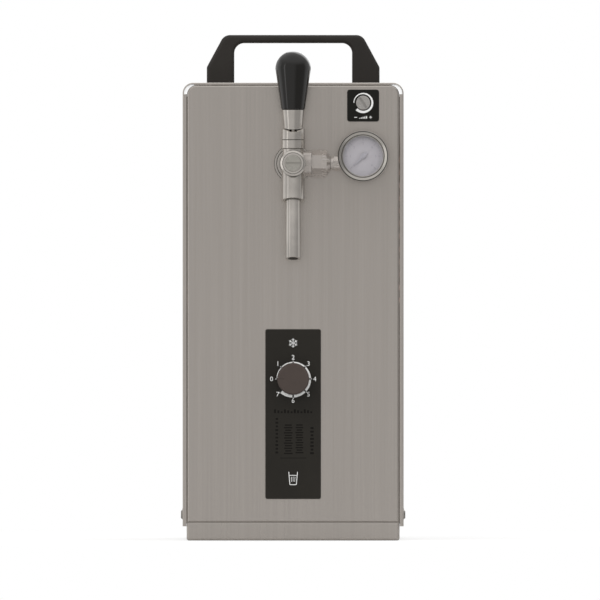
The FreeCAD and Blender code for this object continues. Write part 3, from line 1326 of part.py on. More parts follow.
def build_rear():
    outlet_x = FITTING_X + FITTING_PITCH
    pump_switch_x = SWITCH_X - SWITCH_PITCH
    keep("rear_fittings", fitting(FITTING_X), fitting(outlet_x))
    keep("inlet_collet", collet(FITTING_X))
    keep("outlet_collet", collet(outlet_x))
    keep("panel_nuts", fitting_nut(FITTING_X), fitting_nut(outlet_x), shank_nut(), line_nut())
    keep("mains_inlet", mains_inlet())
    keep("switch_bodies", switch_body(SWITCH_X), switch_body(pump_switch_x))
    keep("power_rocker", rocker(SWITCH_X))
    keep("pump_rocker", rocker(pump_switch_x))
    keep("fan_frame", fan_frame())
    keep("fan_rotor", fan_rotor())
    keep("fan_grille", fan_grille())
    keep("fan_screws", *fan_screws())


# ---------------------------------------------------------------- cooling machinery
PLATE_FOOT_T = 3.0         # compressor's mounting plate
PLATE_FOOT_W = 106.0
STUD_NUT_H = 4.0
SEAM_PROUD = 2.0           # welded seam round the compressor's shell
SHELL_STUB_R = 4.0
SHELL_STUB_H = 8.0
SUCTION_AT = (20.0, -24.0)     # compressor's tube stubs, from its axis
DISCHARGE_AT = (20.0, 22.0)
TERMINAL_D = 13.0
TERMINAL_W = 36.0
TERMINAL_H = 48.0
COIL_PASSES = 9
COIL_GAP = 4.1             # gap between the condenser and the fan's frame
COIL_END_T = 1.5
COIL_TUBE_REACH = 3.0      # straight tube beyond the end plates
STAND_T = 1.2              # sheet of the stand under the cooling block
STAND_SIDE = 15.2          # stand's legs from the case's sides
STAND_FOOT = 8.0
HOSE_BORE_R = 2.8
AIR_HOSE_R = 3.0
PORT_EDGE = 10.0           # ports in the block: distance from its sides
FEED_EDGE = 6.0
BEER_RISE = 20.0           # and height above its foot
SUCTION_RISE = 14.0
FEED_RISE = 74.0
SENSOR_RISE = 30.0
DRIER_R = 9.0
DRIER_H = 55.0
DRIER_SIDE = 17.2          # filter drier from the left side,
DRIER_IN = 60.0            # in front of the rear panel
DRIER_DROP = 159.8         # and its foot below the case's top
DRIER_DIP = 16.0           # bend of the liquid tube below the drier
PUMP_X = -24.0
PUMP_IN = 34.0             # pump's axis behind the front
PUMP_Z = 34.0
PUMP_R = 16.0
PUMP_L = 46.0
PUMP_HEAD_L = 34.0
PUMP_HEAD_W = 30.0
PUMP_HEAD_H = 42.0
PUMP_PAD_R = 6.0
PUMP_PAD_IN = 8.0          # pads and cradle from the bracket's ends
PUMP_TRAY_HALF = 14.0
PUMP_CRADLE_L = 22.0
PUMP_CRADLE_HALF = 10.0
PUMP_CRADLE_DROP = 6.0     # cradle's rim below the motor's axis
PUMP_STUB_H = 5.0
HOSE_SWEEP = 14.0          # hoses' offset from the regulator's barbs
HOSE_FALL = 60.0
DRAIN_SLOTS = 7            # slots in the base pan, under the pump
DRAIN_PITCH = 15.0
DRAIN_W = 6.0
DRAIN_IN = 66.0
DRAIN_L = 40.0

PORT_BEER_IN = (PORT_EDGE - BLOCK_W / 2, BEER_RISE)
PORT_SUCTION = (BLOCK_W / 2 - PORT_EDGE, SUCTION_RISE)
PORT_FEED = (FEED_EDGE - BLOCK_W / 2, FEED_RISE)
STAND_HALF = HALF_W - STAND_SIDE
DRIER_X = DRIER_SIDE - HALF_W
DRIER_Y = REAR - DRIER_IN
DRIER_LOW = CASE_TOP - DRIER_DROP
PUMP_Y = FRONT + PUMP_IN
SHELF_Z = BLOCK_LOW - FOAM_T
COIL_REAR = REAR - SHEET - FAN_T - COIL_GAP
COIL_Y = COIL_REAR - COIL_D / 2
COIL_PASS = COIL_H / COIL_PASSES
PLATE_LOW_Z = SHEET + COMP_FOOT_H
SHELL_LOW = PLATE_LOW_Z + PLATE_FOOT_T


def compressor():
    height = COMP_SHELL_H
    seam = height / 2
    radius = COMP_SHELL_R
    shell = lathe([(0, 0), (radius * 0.68, 0), (radius * 0.92, 8), (radius, 20),
                   (radius, seam - 3), (radius + SEAM_PROUD, seam - 2),
                   (radius + SEAM_PROUD, seam + 1), (radius, seam + 2),
                   (radius, height - 17), (radius * 0.94, height - 8),
                   (radius * 0.78, height - 2), (radius * 0.6, height), (0, height)],
                  at(COMP_X, COMP_Y, SHELL_LOW))
    half = PLATE_FOOT_W / 2
    plate = box(COMP_X - half, COMP_X + half, COMP_Y - half, COMP_Y + half,
                PLATE_LOW_Z, SHELL_LOW)
    plate = soften(plate, 12.0, lambda edge: edge.BoundBox.ZLength > PLATE_FOOT_T / 2)
    top = SHELL_LOW + height
    stubs = [rod(SHELL_STUB_R, at(COMP_X + dx, COMP_Y + dy, top - 10),
                 at(COMP_X + dx, COMP_Y + dy, top + SHELL_STUB_H))
             for dx, dy in (SUCTION_AT, DISCHARGE_AT)]
    holes = [rod(STUD_R + CLEAR, at(x, y, 0), at(x, y, SHELL_LOW + 1))
             for x, y in compressor_feet()]
    return cut(fuse(shell, plate, *stubs), *holes)


def compressor_grommets():
    grommets = []
    for x, y in compressor_feet():
        ring = lathe([(STUD_R + CLEAR, 0), (GROMMET_R, 0), (GROMMET_R, 4), (GROMMET_R - 1.5, 5),
                      (GROMMET_R - 1.5, 7), (GROMMET_R, 8), (GROMMET_R, COMP_FOOT_H),
                      (STUD_R + CLEAR, COMP_FOOT_H)], at(x, y, SHEET))
        grommets.append(ring)
    return grommets


def compressor_nuts():
    nuts = []
    for x, y in compressor_feet():
        low = at(x, y, SHELL_LOW)
        washer = rod(STUD_R * 2.1, low, at(x, y, SHELL_LOW + 1))
        nut = hexagon(STUD_R * 3.7, at(x, y, SHELL_LOW + 1), at(x, y, SHELL_LOW + STUD_NUT_H))
        nuts.append(fuse(washer, nut).cut(rod(STUD_R, low.sub(Z), at(x, y, SHELL_LOW + 10))))
    return nuts


def terminal_cover():
    """Box over the compressor's terminals, shaped to the shell."""
    middle = SHELL_LOW + COMP_SHELL_H * 0.52
    x1 = COMP_X + COMP_SHELL_R + TERMINAL_D
    lid = box(COMP_X + COMP_SHELL_R * 0.8, x1, COMP_Y - TERMINAL_W / 2, COMP_Y + TERMINAL_W / 2,
              middle - TERMINAL_H / 2, middle + TERMINAL_H / 2)
    lid = soften(lid, 2.0, lambda edge: edge.BoundBox.XMin > x1 - 0.01)
    top = SHELL_LOW + COMP_SHELL_H
    return lid.cut(rod(COMP_SHELL_R + SEAM_PROUD, at(COMP_X, COMP_Y, 0), at(COMP_X, COMP_Y, top)))


def condenser():
    """Finned coil between two end plates that reach back to the fan's frame."""
    low = FAN_Z - COIL_H / 2
    end_x = COIL_W / 2
    turn_x = end_x + COIL_TUBE_REACH + COIL_PASS / 2
    points = []
    for number in range(COIL_PASSES):
        z = low + COIL_PASS * (number + 0.5)
        row = [at(-turn_x, COIL_Y, z), at(turn_x, COIL_Y, z)]
        points += row if number % 2 == 0 else row[::-1]
    shape = tube(points, TUBE_R, COIL_PASS / 2 - 0.01)
    fins = []
    count = int(COIL_W / FIN_PITCH)
    for number in range(count + 1):
        x = -COIL_W / 2 + number * COIL_W / count
        thick = COIL_END_T if number in (0, count) else FIN_T
        rear = COIL_REAR + (COIL_GAP if number in (0, count) else 0)
        fins.append(box(x - thick / 2, x + thick / 2, COIL_REAR - COIL_D, rear,
                        low, low + COIL_H))
    return fuse(shape, *fins)


def block_port(place):
    x, rise = place
    return at(x, BLOCK_REAR, BLOCK_LOW + rise)


def cooling_block():
    block = box(-BLOCK_W / 2, BLOCK_W / 2, BLOCK_FRONT, BLOCK_REAR, BLOCK_LOW, BLOCK_HIGH)
    return soften(block, 4.0, lambda edge: edge.BoundBox.ZLength > 10)


def foam_half(front):
    """Front or rear half of the insulation round the cooling block."""
    half = BLOCK_W / 2 + FOAM_T
    y0, y1 = (BLOCK_FRONT - FOAM_T, BLOCK_Y) if front else (BLOCK_Y, BLOCK_REAR + FOAM_T)
    outer = box(-half, half, y0, y1, SHELF_Z, BLOCK_HIGH + FOAM_T)
    tools = [box(-BLOCK_W / 2, BLOCK_W / 2, BLOCK_FRONT, BLOCK_REAR, BLOCK_LOW, BLOCK_HIGH)]
    if front:
        tools.append(rod(HOSE_R, at(0, y0 - 1, TAP_Z), at(0, BLOCK_Y, TAP_Z)))
        port = BLOCK_LOW + SENSOR_RISE
        tools.append(rod(BULB_R, at(THERMO_W / 4, y0 - 1, port), at(THERMO_W / 4, BLOCK_Y, port)))
    else:
        for place, radius in ((PORT_BEER_IN, HOSE_R), (PORT_SUCTION, TUBE_R), (PORT_FEED, BULB_R)):
            start = block_port(place)
            tools.append(rod(radius, start, start.add(at(0, FOAM_T + 1, 0))))
    return cut(outer, *tools)


def block_stand():
    """Folded stand on the base pan that carries the insulated block."""
    y0 = BLOCK_FRONT - FOAM_T
    y1 = BLOCK_REAR + FOAM_T
    shelf = box(-STAND_HALF, STAND_HALF, y0, y1, SHELF_Z - STAND_T, SHELF_Z)
    parts = [shelf]
    for side in (-1, 1):
        outer = side * STAND_HALF
        parts.append(box(outer, outer - side * STAND_T, y0, y1, SHEET, SHELF_Z))
        parts.append(box(outer, outer - side * STAND_FOOT, y0, y1, SHEET, SHEET + STAND_T))
    return fuse(*parts)


def beer_line_in():
    port = block_port(PORT_BEER_IN)
    middle = DRIER_Y - 21
    return tube([at(FITTING_X, REAR - FITTING_IN, FITTING_Z), at(FITTING_X, middle, FITTING_Z),
                 at(port.x, middle, port.z), port], HOSE_R, 14.0, HOSE_BORE_R)


def beer_line_out():
    return pipe(HOSE_R, HOSE_BORE_R, at(0, BLOCK_FRONT, TAP_Z), inside(SHANK_IN, 0, TAP_Z))


def line_nut():
    """Hexagonal nut that holds the drink line on the end of the shank."""
    start = inside(SHANK_IN - 9, 0, TAP_Z)
    end = inside(SHANK_IN + 2.5, 0, TAP_Z)
    nut = hexagon(21.0, start, end)
    return cut(nut, rod(SHANK_R, start.sub(Y), inside(SHANK_IN, 0, TAP_Z)),
               rod(HOSE_R, start, end.add(Y)))


def suction_tube():
    port = block_port(PORT_SUCTION)
    x = COMP_X + SUCTION_AT[0]
    y = COMP_Y + SUCTION_AT[1]
    return tube([port, at(port.x, y, port.z), at(x, y, port.z - 26),
                 at(x, y, SHELL_LOW + COMP_SHELL_H + SHELL_STUB_H)], TUBE_R, 9.0)


def discharge_tube():
    turn_x = COIL_W / 2 + COIL_TUBE_REACH + COIL_PASS / 2
    x = COMP_X + DISCHARGE_AT[0]
    y = COMP_Y + DISCHARGE_AT[1]
    high = FAN_Z + COIL_H / 2 - COIL_PASS / 2
    start = SHELL_LOW + COMP_SHELL_H + SHELL_STUB_H
    side = turn_x + 9
    return tube([at(x, y, start), at(x, y, start + 18), at(side, y, start + 34),
                 at(side, COIL_Y, start + 52), at(side, COIL_Y, high),
                 at(turn_x, COIL_Y, high)], TUBE_R, 8.0)


def filter_drier():
    return lathe([(0, 0), (TUBE_R, 0), (TUBE_R, 3), (DRIER_R, 9), (DRIER_R, DRIER_H - 9),
                  (TUBE_R, DRIER_H - 3), (TUBE_R, DRIER_H), (0, DRIER_H)],
                 at(DRIER_X, DRIER_Y, DRIER_LOW))


def liquid_tube():
    turn_x = COIL_W / 2 + COIL_TUBE_REACH + COIL_PASS / 2
    low = FAN_Z - COIL_H / 2 + COIL_PASS / 2
    side = -(turn_x + 9)
    dip = DRIER_LOW - DRIER_DIP
    return tube([at(-turn_x, COIL_Y, low), at(side, COIL_Y, low), at(side, COIL_Y, dip),
                 at(DRIER_X, DRIER_Y, dip), at(DRIER_X, DRIER_Y, DRIER_LOW)], TUBE_R, 7.0)


def feed_capillary():
    port = block_port(PORT_FEED)
    top = DRIER_LOW + DRIER_H
    return tube([at(DRIER_X, DRIER_Y, top), at(DRIER_X, DRIER_Y, port.z),
                 at(port.x, DRIER_Y - 26, port.z), port], BULB_R, 8.0)


def pump_motor():
    start = at(PUMP_X - PUMP_L / 2, PUMP_Y, PUMP_Z)
    end = at(PUMP_X + PUMP_L / 2, PUMP_Y, PUMP_Z)
    can = rod(PUMP_R, start, end)
    can = soften(can, 2.0, lambda edge: edge.BoundBox.XMax < start.x + 0.01)
    return fuse(can, rod(5, start.sub(at(3, 0, 0)), start))


def pump_head():
    x0 = PUMP_X + PUMP_L / 2
    x1 = x0 + PUMP_HEAD_L
    half = PUMP_HEAD_W / 2
    head = box(x0, x1, PUMP_Y - half, PUMP_Y + half, PUMP_Z - PUMP_HEAD_H / 2,
               PUMP_Z + PUMP_HEAD_H / 2)
    head = soften(head, 2.0, lambda edge: edge.BoundBox.XMin > x1 - 0.01)
    stub = rod(AIR_HOSE_R, at((x0 + x1) / 2, PUMP_Y, PUMP_Z),
               at((x0 + x1) / 2, PUMP_Y, PUMP_Z + PUMP_HEAD_H / 2 + PUMP_STUB_H))
    return fuse(head, stub)


def pump_bracket():
    """Saddle under the pump, on two rubber-like pads."""
    x0 = PUMP_X - PUMP_L / 2
    x1 = PUMP_X + PUMP_L / 2 + PUMP_HEAD_L
    top = PUMP_Z - PUMP_HEAD_H / 2
    tray = box(x0, x1, PUMP_Y - PUMP_TRAY_HALF, PUMP_Y + PUMP_TRAY_HALF, top - STAND_T, top)
    near = x0 + PUMP_PAD_IN
    cradle = box(near, near + PUMP_CRADLE_L, PUMP_Y - PUMP_CRADLE_HALF, PUMP_Y + PUMP_CRADLE_HALF,
                 top - STAND_T / 2, PUMP_Z - PUMP_CRADLE_DROP)
    return fuse(tray, cradle.cut(rod(PUMP_R, at(x0 - 1, PUMP_Y, PUMP_Z), at(x1, PUMP_Y, PUMP_Z))))


def pump_pads():
    x0 = PUMP_X - PUMP_L / 2
    x1 = PUMP_X + PUMP_L / 2 + PUMP_HEAD_L
    top = PUMP_Z - PUMP_HEAD_H / 2 - STAND_T
    return [rod(PUMP_PAD_R, at(x, PUMP_Y, SHEET), at(x, PUMP_Y, top))
            for x in (x0 + PUMP_PAD_IN, x1 - PUMP_PAD_IN)]


def pump_hose():
    """Air hose from the pump up to the regulator."""
    x0 = PUMP_X + PUMP_L / 2 + PUMP_HEAD_L / 2
    start = PUMP_Z + PUMP_HEAD_H / 2 + PUMP_STUB_H
    barb = inside(REG_BARBS[0], REG_X, REG_Z - REG_BODY_R - BARB_L)
    return tube([at(x0, PUMP_Y, start), at(x0, PUMP_Y, start + 22),
                 at(STAND_HALF - 4, barb.y + HOSE_SWEEP, start + HOSE_FALL),
                 at(STAND_HALF - 4, barb.y + HOSE_SWEEP, barb.z - HOSE_FALL),
                 at(barb.x, barb.y, barb.z - 24), barb], AIR_HOSE_R, 10.0)


def outlet_hose():
    """Air hose from the regulator, along the right side, to the rear fitting."""
    barb = inside(REG_BARBS[1], REG_X, REG_Z - REG_BODY_R - BARB_L)
    side = STAND_HALF + 6.5
    level = SHELF_Z - 9
    x1 = FITTING_X + FITTING_PITCH
    return tube([barb, at(barb.x, barb.y, barb.z - 22), at(side, barb.y + 4, barb.z - HOSE_FALL),
                 at(side, barb.y + 4, level), at(side, BLOCK_REAR + 22, level),
                 at(x1, BLOCK_REAR + 42, level), at(x1, DRIER_Y + HOSE_SWEEP, FITTING_Z),
                 at(x1, REAR - FITTING_IN, FITTING_Z)], AIR_HOSE_R, 9.0)


def build_cooling():
    keep("compressor", compressor())
    keep("compressor_grommets", *compressor_grommets())
    keep("compressor_nuts", *compressor_nuts())
    keep("terminal_cover", terminal_cover())
    keep("condenser", condenser())
    keep("cooling_block", cooling_block())
    keep("foam_shells", foam_half(True), foam_half(False))
    keep("block_stand", block_stand())
    keep("beer_lines", beer_line_in(), beer_line_out())
    keep("refrigerant_lines", suction_tube(), discharge_tube(), filter_drier(), liquid_tube(),
         feed_capillary())
    keep("air_pump", pump_motor(), pump_head())
    keep("pump_mounts", pump_bracket(), *pump_pads())
    keep("air_hoses", pump_hose(), outlet_hose())


BUILDERS = (build_case, build_tap, build_controls, build_rear, build_cooling)


def main():
    for build in BUILDERS:
        build()
    os.makedirs("parts", exist_ok=True)
    for name, shape in NODES.items():
        shape.exportStep(f"parts/{name}.step")
    print(len(NODES), "nodes")


if __name__ == "__main__":
    main()
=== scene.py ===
"""Finishes, markings, fine pieces, lights and camera for a countertop beer dispenser."""

from __future__ import annotations

import logging
import math
from collections.abc import Callable, Sequence
from dataclasses import dataclass, field, replace
from enum import Enum
from functools import cache

import bmesh
import bpy
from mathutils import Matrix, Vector

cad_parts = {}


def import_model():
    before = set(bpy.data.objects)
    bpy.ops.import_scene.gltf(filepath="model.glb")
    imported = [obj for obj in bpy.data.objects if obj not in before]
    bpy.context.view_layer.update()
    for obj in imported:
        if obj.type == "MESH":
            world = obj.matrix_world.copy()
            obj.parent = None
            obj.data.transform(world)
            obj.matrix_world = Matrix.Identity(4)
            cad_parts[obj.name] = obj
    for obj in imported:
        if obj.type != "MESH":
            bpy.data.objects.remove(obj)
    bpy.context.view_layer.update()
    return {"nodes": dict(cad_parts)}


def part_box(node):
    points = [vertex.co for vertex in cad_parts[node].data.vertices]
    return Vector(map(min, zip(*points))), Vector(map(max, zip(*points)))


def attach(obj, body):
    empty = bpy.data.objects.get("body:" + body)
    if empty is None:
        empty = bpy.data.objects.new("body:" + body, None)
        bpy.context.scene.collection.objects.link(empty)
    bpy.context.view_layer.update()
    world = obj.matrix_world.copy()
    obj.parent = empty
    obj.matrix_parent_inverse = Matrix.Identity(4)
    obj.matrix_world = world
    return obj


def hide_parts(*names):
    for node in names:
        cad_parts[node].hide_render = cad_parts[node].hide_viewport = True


LOG = logging.getLogger("dispenser")
MM = 0.001
Pair = tuple[float, float]
Point = tuple[float, float, float]
Colour = Point


def linear(red: float, green: float, blue: float) -> Colour:
    """Turns display values from 0 to 255 into the linear colour that shaders take."""
    shares = (value / 255 for value in (red, green, blue))
    return tuple(share / 12.92 if share <= 0.04045 else ((share + 0.055) / 1.055) ** 2.4
                 for share in shares)


def polar(centre: Pair, reach: float, turn: float) -> Pair:
    """The point at a reach from a centre, turned clockwise from straight up."""
    return centre[0] + reach * math.sin(turn), centre[1] + reach * math.cos(turn)


def add_object(name: str, data: bpy.types.ID) -> bpy.types.Object:
    """Adds an object at the origin of the scene.

    Args:
        name: its name.
        data: its mesh, text, lamp or camera.

    Returns:
        The object.
    """
    made = bpy.data.objects.new(name, data)
    bpy.context.scene.collection.objects.link(made)
    return made


def plain_mesh(holder: bpy.types.Object) -> bpy.types.Mesh:
    """Turns what an object evaluates to into a plain mesh, and removes the object.

    Args:
        holder: a text or an object with modifiers.

    Returns:
        The mesh.
    """
    bpy.context.view_layer.update()
    mesh = bpy.data.meshes.new_from_object(
        holder.evaluated_get(bpy.context.evaluated_depsgraph_get()))
    holder.modifiers.clear()
    bpy.data.objects.remove(holder)
    return mesh


# ------------------------------------------------------------------ node trees


def math_node(operation: str, reflected: bool = False) -> Callable[..., Value]:
    """Makes an operator or a method of Value.

    Args:
        operation: the operation of the Math node that it adds.
        reflected: whether the value is the node's second input.

    Returns:
        The method; it takes the other input, where the operation has one.
    """

    def method(self: Value, *other: float | Value) -> Value:
        """Adds the node."""
        inputs = (*other, self) if reflected else (self, *other)
        return self.tree.value("ShaderNodeMath", dict(enumerate(inputs)), operation=operation)

    return method


class Value:
    """A number on a socket; its operators add Math nodes, and < gives 1 or 0."""

    __add__ = __radd__ = math_node("ADD")
    __sub__ = math_node("SUBTRACT")
    __rsub__ = math_node("SUBTRACT", reflected=True)
    __mul__ = __rmul__ = math_node("MULTIPLY")
    __truediv__ = math_node("DIVIDE")
    __pow__ = math_node("POWER")
    __lt__ = math_node("LESS_THAN")
    size = math_node("ABSOLUTE")
    sine = math_node("SINE")
    cosine = math_node("COSINE")
    root = math_node("SQRT")

    def __init__(self, tree: Tree, socket: bpy.types.NodeSocket) -> None:
        """Wraps a socket of a tree."""
        self.tree = tree
        self.socket = socket

    def held(self) -> Value:
        """The value held between 0 and 1."""
        return self.tree.value("ShaderNodeMath", {0: self, 1: 0.0}, operation="ADD",
                               use_clamp=True)

    def ramp(self, low: float, high: float) -> Value:
        """Smooth step from 0 at low to 1 at high."""
        return self.tree.value("ShaderNodeMapRange",
                               {"Value": self, "From Min": low, "From Max": high},
                               interpolation_type="SMOOTHSTEP")

    def band(self, low: float, high: float, soft: float) -> Value:
        """1 between low and high, falling to 0 over a soft edge outside them."""
        return self.ramp(low - soft, low) * (1.0 - self.ramp(high, high + soft))


class Tree:
    """A node tree."""

    def __init__(self, nodes: bpy.types.NodeTree) -> None:
        """Takes over a tree of nodes."""
        self.nodes = nodes.nodes
        self.links = nodes.links

    def node(self, kind: str, inputs: dict | None = None, **settings: object
             ) -> bpy.types.Node:
        """Adds a node.

        Args:
            kind: the node's type.
            inputs: what each socket gets, by the socket's name or number.
            settings: properties, which are set first.

        Returns:
            The node.
        """
        made = self.nodes.new(kind)
        for key, value in settings.items():
            setattr(made, key, value)
        for key, value in (inputs or {}).items():
            self.feed(made.inputs[key], value)
        return made

    def feed(self, socket: bpy.types.NodeSocket, value: object) -> None:
        """Sets or links one input socket.

        Args:
            socket: the input.
            value: a plain value, a Value, a socket, a node, whose first output counts, or a
                list of nodes for a socket that takes several.
        """
        if isinstance(value, list):
            for each in value:
                self.feed(socket, each)
            return
        if isinstance(value, Value):
            value = value.socket
        elif isinstance(value, bpy.types.Node):
            value = value.outputs[0]
        if isinstance(value, bpy.types.NodeSocket):
            self.links.new(value, socket)
        elif socket.type == "RGBA":
            socket.default_value = (*value, 1.0)
        else:
            socket.default_value = value

    def value(self, kind: str, inputs: dict | None = None, output: int | str = 0,
              **settings: object) -> Value:
        """Adds a node and wraps one of its outputs as a number."""
        return Value(self, self.node(kind, inputs, **settings).outputs[output])


class Graph(Tree):
    """The shader nodes of a material or of the world."""

    def __init__(self, owner: bpy.types.Material | bpy.types.World) -> None:
        """Takes over the tree of a new material or world.

        Args:
            owner: the material or the world.
        """
        owner.use_nodes = True
        super().__init__(owner.node_tree)
        self.owner = owner
        self.shader = self.nodes.get("Principled BSDF") or self.nodes["Background"]
        self.output = next(node for node in self.nodes if "Output" in node.bl_idname)

    def place(self, scale: Point = (1, 1, 1), shift: Point = (0, 0, 0),
              turn: Point = (0, 0, 0)) -> bpy.types.Node:
        """Object coordinates through a Mapping node.

        Args:
            scale: factor along each axis.
            shift: location added after scaling.
            turn: rotation in radians.

        Returns:
            The Mapping node.
        """
        where = self.node("ShaderNodeTexCoord").outputs["Object"]
        return self.node("ShaderNodeMapping", {"Vector": where, "Location": shift,
                                               "Rotation": turn, "Scale": scale})

    def axes(self, vector: object) -> tuple[Value, Value, Value]:
        """The three numbers of a vector."""
        split = self.node("ShaderNodeSeparateXYZ", {"Vector": vector})
        return tuple(Value(self, output) for output in split.outputs)

    def about(self, centre: Pair) -> tuple[Value, Value, Value]:
        """X and Z from an axis along Y, and the distance from it."""
        x, _, z = self.axes(self.place(shift=(-centre[0], 0, -centre[1])))
        return x, z, (x * x + z * z).root()

    def noise(self, where: bpy.types.Node, scale: float, detail: float = 2.0,
              roughness: float = 0.5) -> Value:
        """Noise from 0 to 1."""
        return self.value("ShaderNodeTexNoise", {"Vector": where, "Scale": scale,
                                                 "Detail": detail, "Roughness": roughness})

    def blend(self, share: float | Value, low: object, high: object) -> bpy.types.NodeSocket:
        """Mixes two colours; share 0 gives low."""
        return self.node("ShaderNodeMix", {0: share, 6: low, 7: high},
                         data_type="RGBA").outputs[2]

    def surface(self, **inputs: object) -> None:
        """Feeds the shader; words are joined by underscores."""
        for key, value in inputs.items():
            self.feed(self.shader.inputs[key.replace("_", " ")], value)

    def bump(self, height: Value, strength: float, depth: float) -> None:
        """Bumps the shader's normal by a height field from 0 to 1; depth is in metres."""
        self.surface(Normal=self.node("ShaderNodeBump", {
            "Height": height, "Strength": strength, "Distance": depth}))

    def show(self, shader: bpy.types.Node) -> None:
        """Puts another shader in place of the first one."""
        self.feed(self.output.inputs["Surface"], shader)
        self.nodes.remove(self.shader)

    def edge_wear(self, radius: float = 0.0012) -> Value:
        """Rises from 0 to 1 along outward edges, where handling polishes a surface.

        Args:
            radius: the reach of the bend that counts as an edge, in metres.

        Returns:
            The share.
        """
        bevel = self.node("ShaderNodeBevel", {"Radius": radius}, samples=4)
        face = self.node("ShaderNodeNewGeometry").outputs["Normal"]
        lean = self.value("ShaderNodeVectorMath", {0: bevel, 1: face}, "Value",
                          operation="DOT_PRODUCT")
        return (1.0 - lean).ramp(0.02, 0.25)

    def crevice(self, reach: float = 0.0013) -> Value:
        """Rises from 0 to 1 in narrow grooves and joints, where the finishes paint shade into the
        colour.
        """
        openness = self.value("ShaderNodeAmbientOcclusion", {"Distance": reach}, "AO", samples=8)
        return 1.0 - openness.ramp(0.5, 0.95)


# ------------------------------------------------------------------ finishes


class Grain(Enum):
    """The direction in which a sheet or bar is brushed: the noise's scale along each axis."""

    UPRIGHT = (900.0, 900.0, 5.0)
    ACROSS = (5.0, 900.0, 900.0)
    LENGTHWISE = (900.0, 5.0, 900.0)


@dataclass(frozen=True)
class Finish:
    """A named surface; each kind of surface dresses the shader in its own way."""

    name: str
    colour: Colour

    def dress(self, graph: Graph) -> None:
        """Builds the shader.

        Args:
            graph: the material's tree.
        """
        raise NotImplementedError

    def tint(self, factor: float, lift: float = 0.0) -> Colour:
        """The finish's colour made darker or paler, with no channel above 1."""
        return tuple(min(1.0, channel * factor + lift) for channel in self.colour)

    @cache
    def material(self) -> bpy.types.Material:
        """Makes the finish's material the first time that it is asked for.

        Returns:
            The material.
        """
        graph = Graph(bpy.data.materials.new(self.name))
        self.dress(graph)
        return graph.owner

    def cover(self, mesh: bpy.types.Mesh) -> None:
        """Gives a mesh this finish and no other."""
        mesh.materials.clear()
        mesh.materials.append(self.material())


@dataclass(frozen=True)
class Brushed(Finish):
    """Brushed sheet steel with fine lines, faint clouds and polished bends."""

    grain: Grain = Grain.UPRIGHT
    roughness: float = 0.42
    metallic: float = 0.82
    wear: float = 0.56

    def smooth(self, graph: Graph, rough: Value, lines: Value) -> tuple[Value, Value]:
        """The roughness and the bump's height: a plain sheet is brushed all over."""
        return rough, lines

    def dress(self, graph: Graph) -> None:
        """Lines along the grain, clouds in the gloss, paler bends.

        Args:
            graph: the material's tree.
        """
        fine = self.grain.value
        lines = graph.noise(graph.place(scale=fine), 1.0, 3.0, 0.6)
        broad = graph.noise(graph.place(scale=tuple(v / 6 for v in fine)), 1.0)
        cloud = graph.noise(graph.place(), 9.0, 3.0)
        worn = graph.edge_wear(0.0016)
        shade = graph.blend((lines * 0.7 + broad * 0.3).ramp(0.25, 0.75), self.tint(0.95),
                            self.tint(1.04))
        rough, height = self.smooth(
            graph, self.roughness + (lines - 0.5) * 0.12 + (cloud - 0.5) * 0.08 - worn * 0.22,
            lines)
        graph.surface(Base_Color=graph.blend(worn * self.wear, shade, self.tint(1.35)),
                      Metallic=self.metallic, Roughness=rough)
        graph.bump(height, 0.08, 0.00005)


@dataclass(frozen=True)
class BentCover(Brushed):
    """The cover's sheet, brushed outside and smooth inside; lengths in metres."""

    half: float = 0.0772
    top: float = 0.3198
    radius: float = 0.0074
    sheet: float = 0.0009
    inside_end: float = 0.1242
    mill_roughness: float = 0.04

    def smooth(self, graph: Graph, rough: Value, lines: Value) -> tuple[Value, Value]:
        """The inside of the inverted U keeps the mill's finish.

        Args:
            graph: the material's tree.
            rough: the brushed roughness.
            lines: the brushed lines.

        Returns:
            The roughness and the bump's height over both sides.
        """
        x, y, z = graph.axes(graph.place())
        side = (x.size() - (self.half - self.radius)).held()
        rise = (z - (self.top - self.radius)).held()
        from_bend = (side * side + rise * rise).root()
        inside = (from_bend < self.radius - self.sheet * 0.6) * (y.size() < self.inside_end)
        brushed = 1.0 - inside
        return rough * brushed + inside * self.mill_roughness, lines * brushed


@dataclass(frozen=True)
class Plated(Finish):
    """Satin chrome plate over a cast and polished body."""

    roughness: float = 0.24
    metallic: float = 0.76
    centre: Pair = (0.0, 0.0)
    # Inner and outer radii, in metres, of rings about the centre painted dark as shade in
    # grooves.
    lines: tuple[Pair, ...] = ()

    def dress(self, graph: Graph) -> None:
        """Casting ripples, buffing marks, rubbed edges, and painted shade in grooves and turned
        lines.

        Args:
            graph: the material's tree.
        """
        ripple = graph.noise(graph.place(), 160.0)
        buffing = graph.noise(graph.place(scale=(220, 220, 1500)), 1.0)
        cloud = graph.noise(graph.place(), 40.0, 3.0)
        worn = graph.edge_wear(0.0006)
        # Painted shade: the colour goes dark where ambient occlusion finds narrow grooves and
        # joints.
        painted_groove_shade = graph.crevice() * (0.7 + cloud * 0.3)
        # Painted shade: dark rings at the given radii, where the grooves cast shadow lines.
        for inner, outer in self.lines:
            away = graph.about(self.centre)[2]
            painted_groove_shade = (painted_groove_shade + away.band(inner, outer, 0.0001) * 0.75).held()
        shade = graph.blend(cloud.ramp(0.35, 0.7), self.tint(0.8), self.colour)
        face = graph.blend(worn * 0.7, shade, self.tint(1.2))
        # The painted shade darkens the base colour almost to black and roughens the surface.
        graph.surface(Base_Color=graph.blend(painted_groove_shade, face, self.tint(0.16)),
                      Metallic=self.metallic,
                      Roughness=self.roughness + (buffing - 0.5) * 0.1 + (cloud - 0.5) * 0.12
                      + painted_groove_shade * 0.3)
        graph.bump(ripple * 0.7 + buffing * 0.3, 0.08, 0.00006)


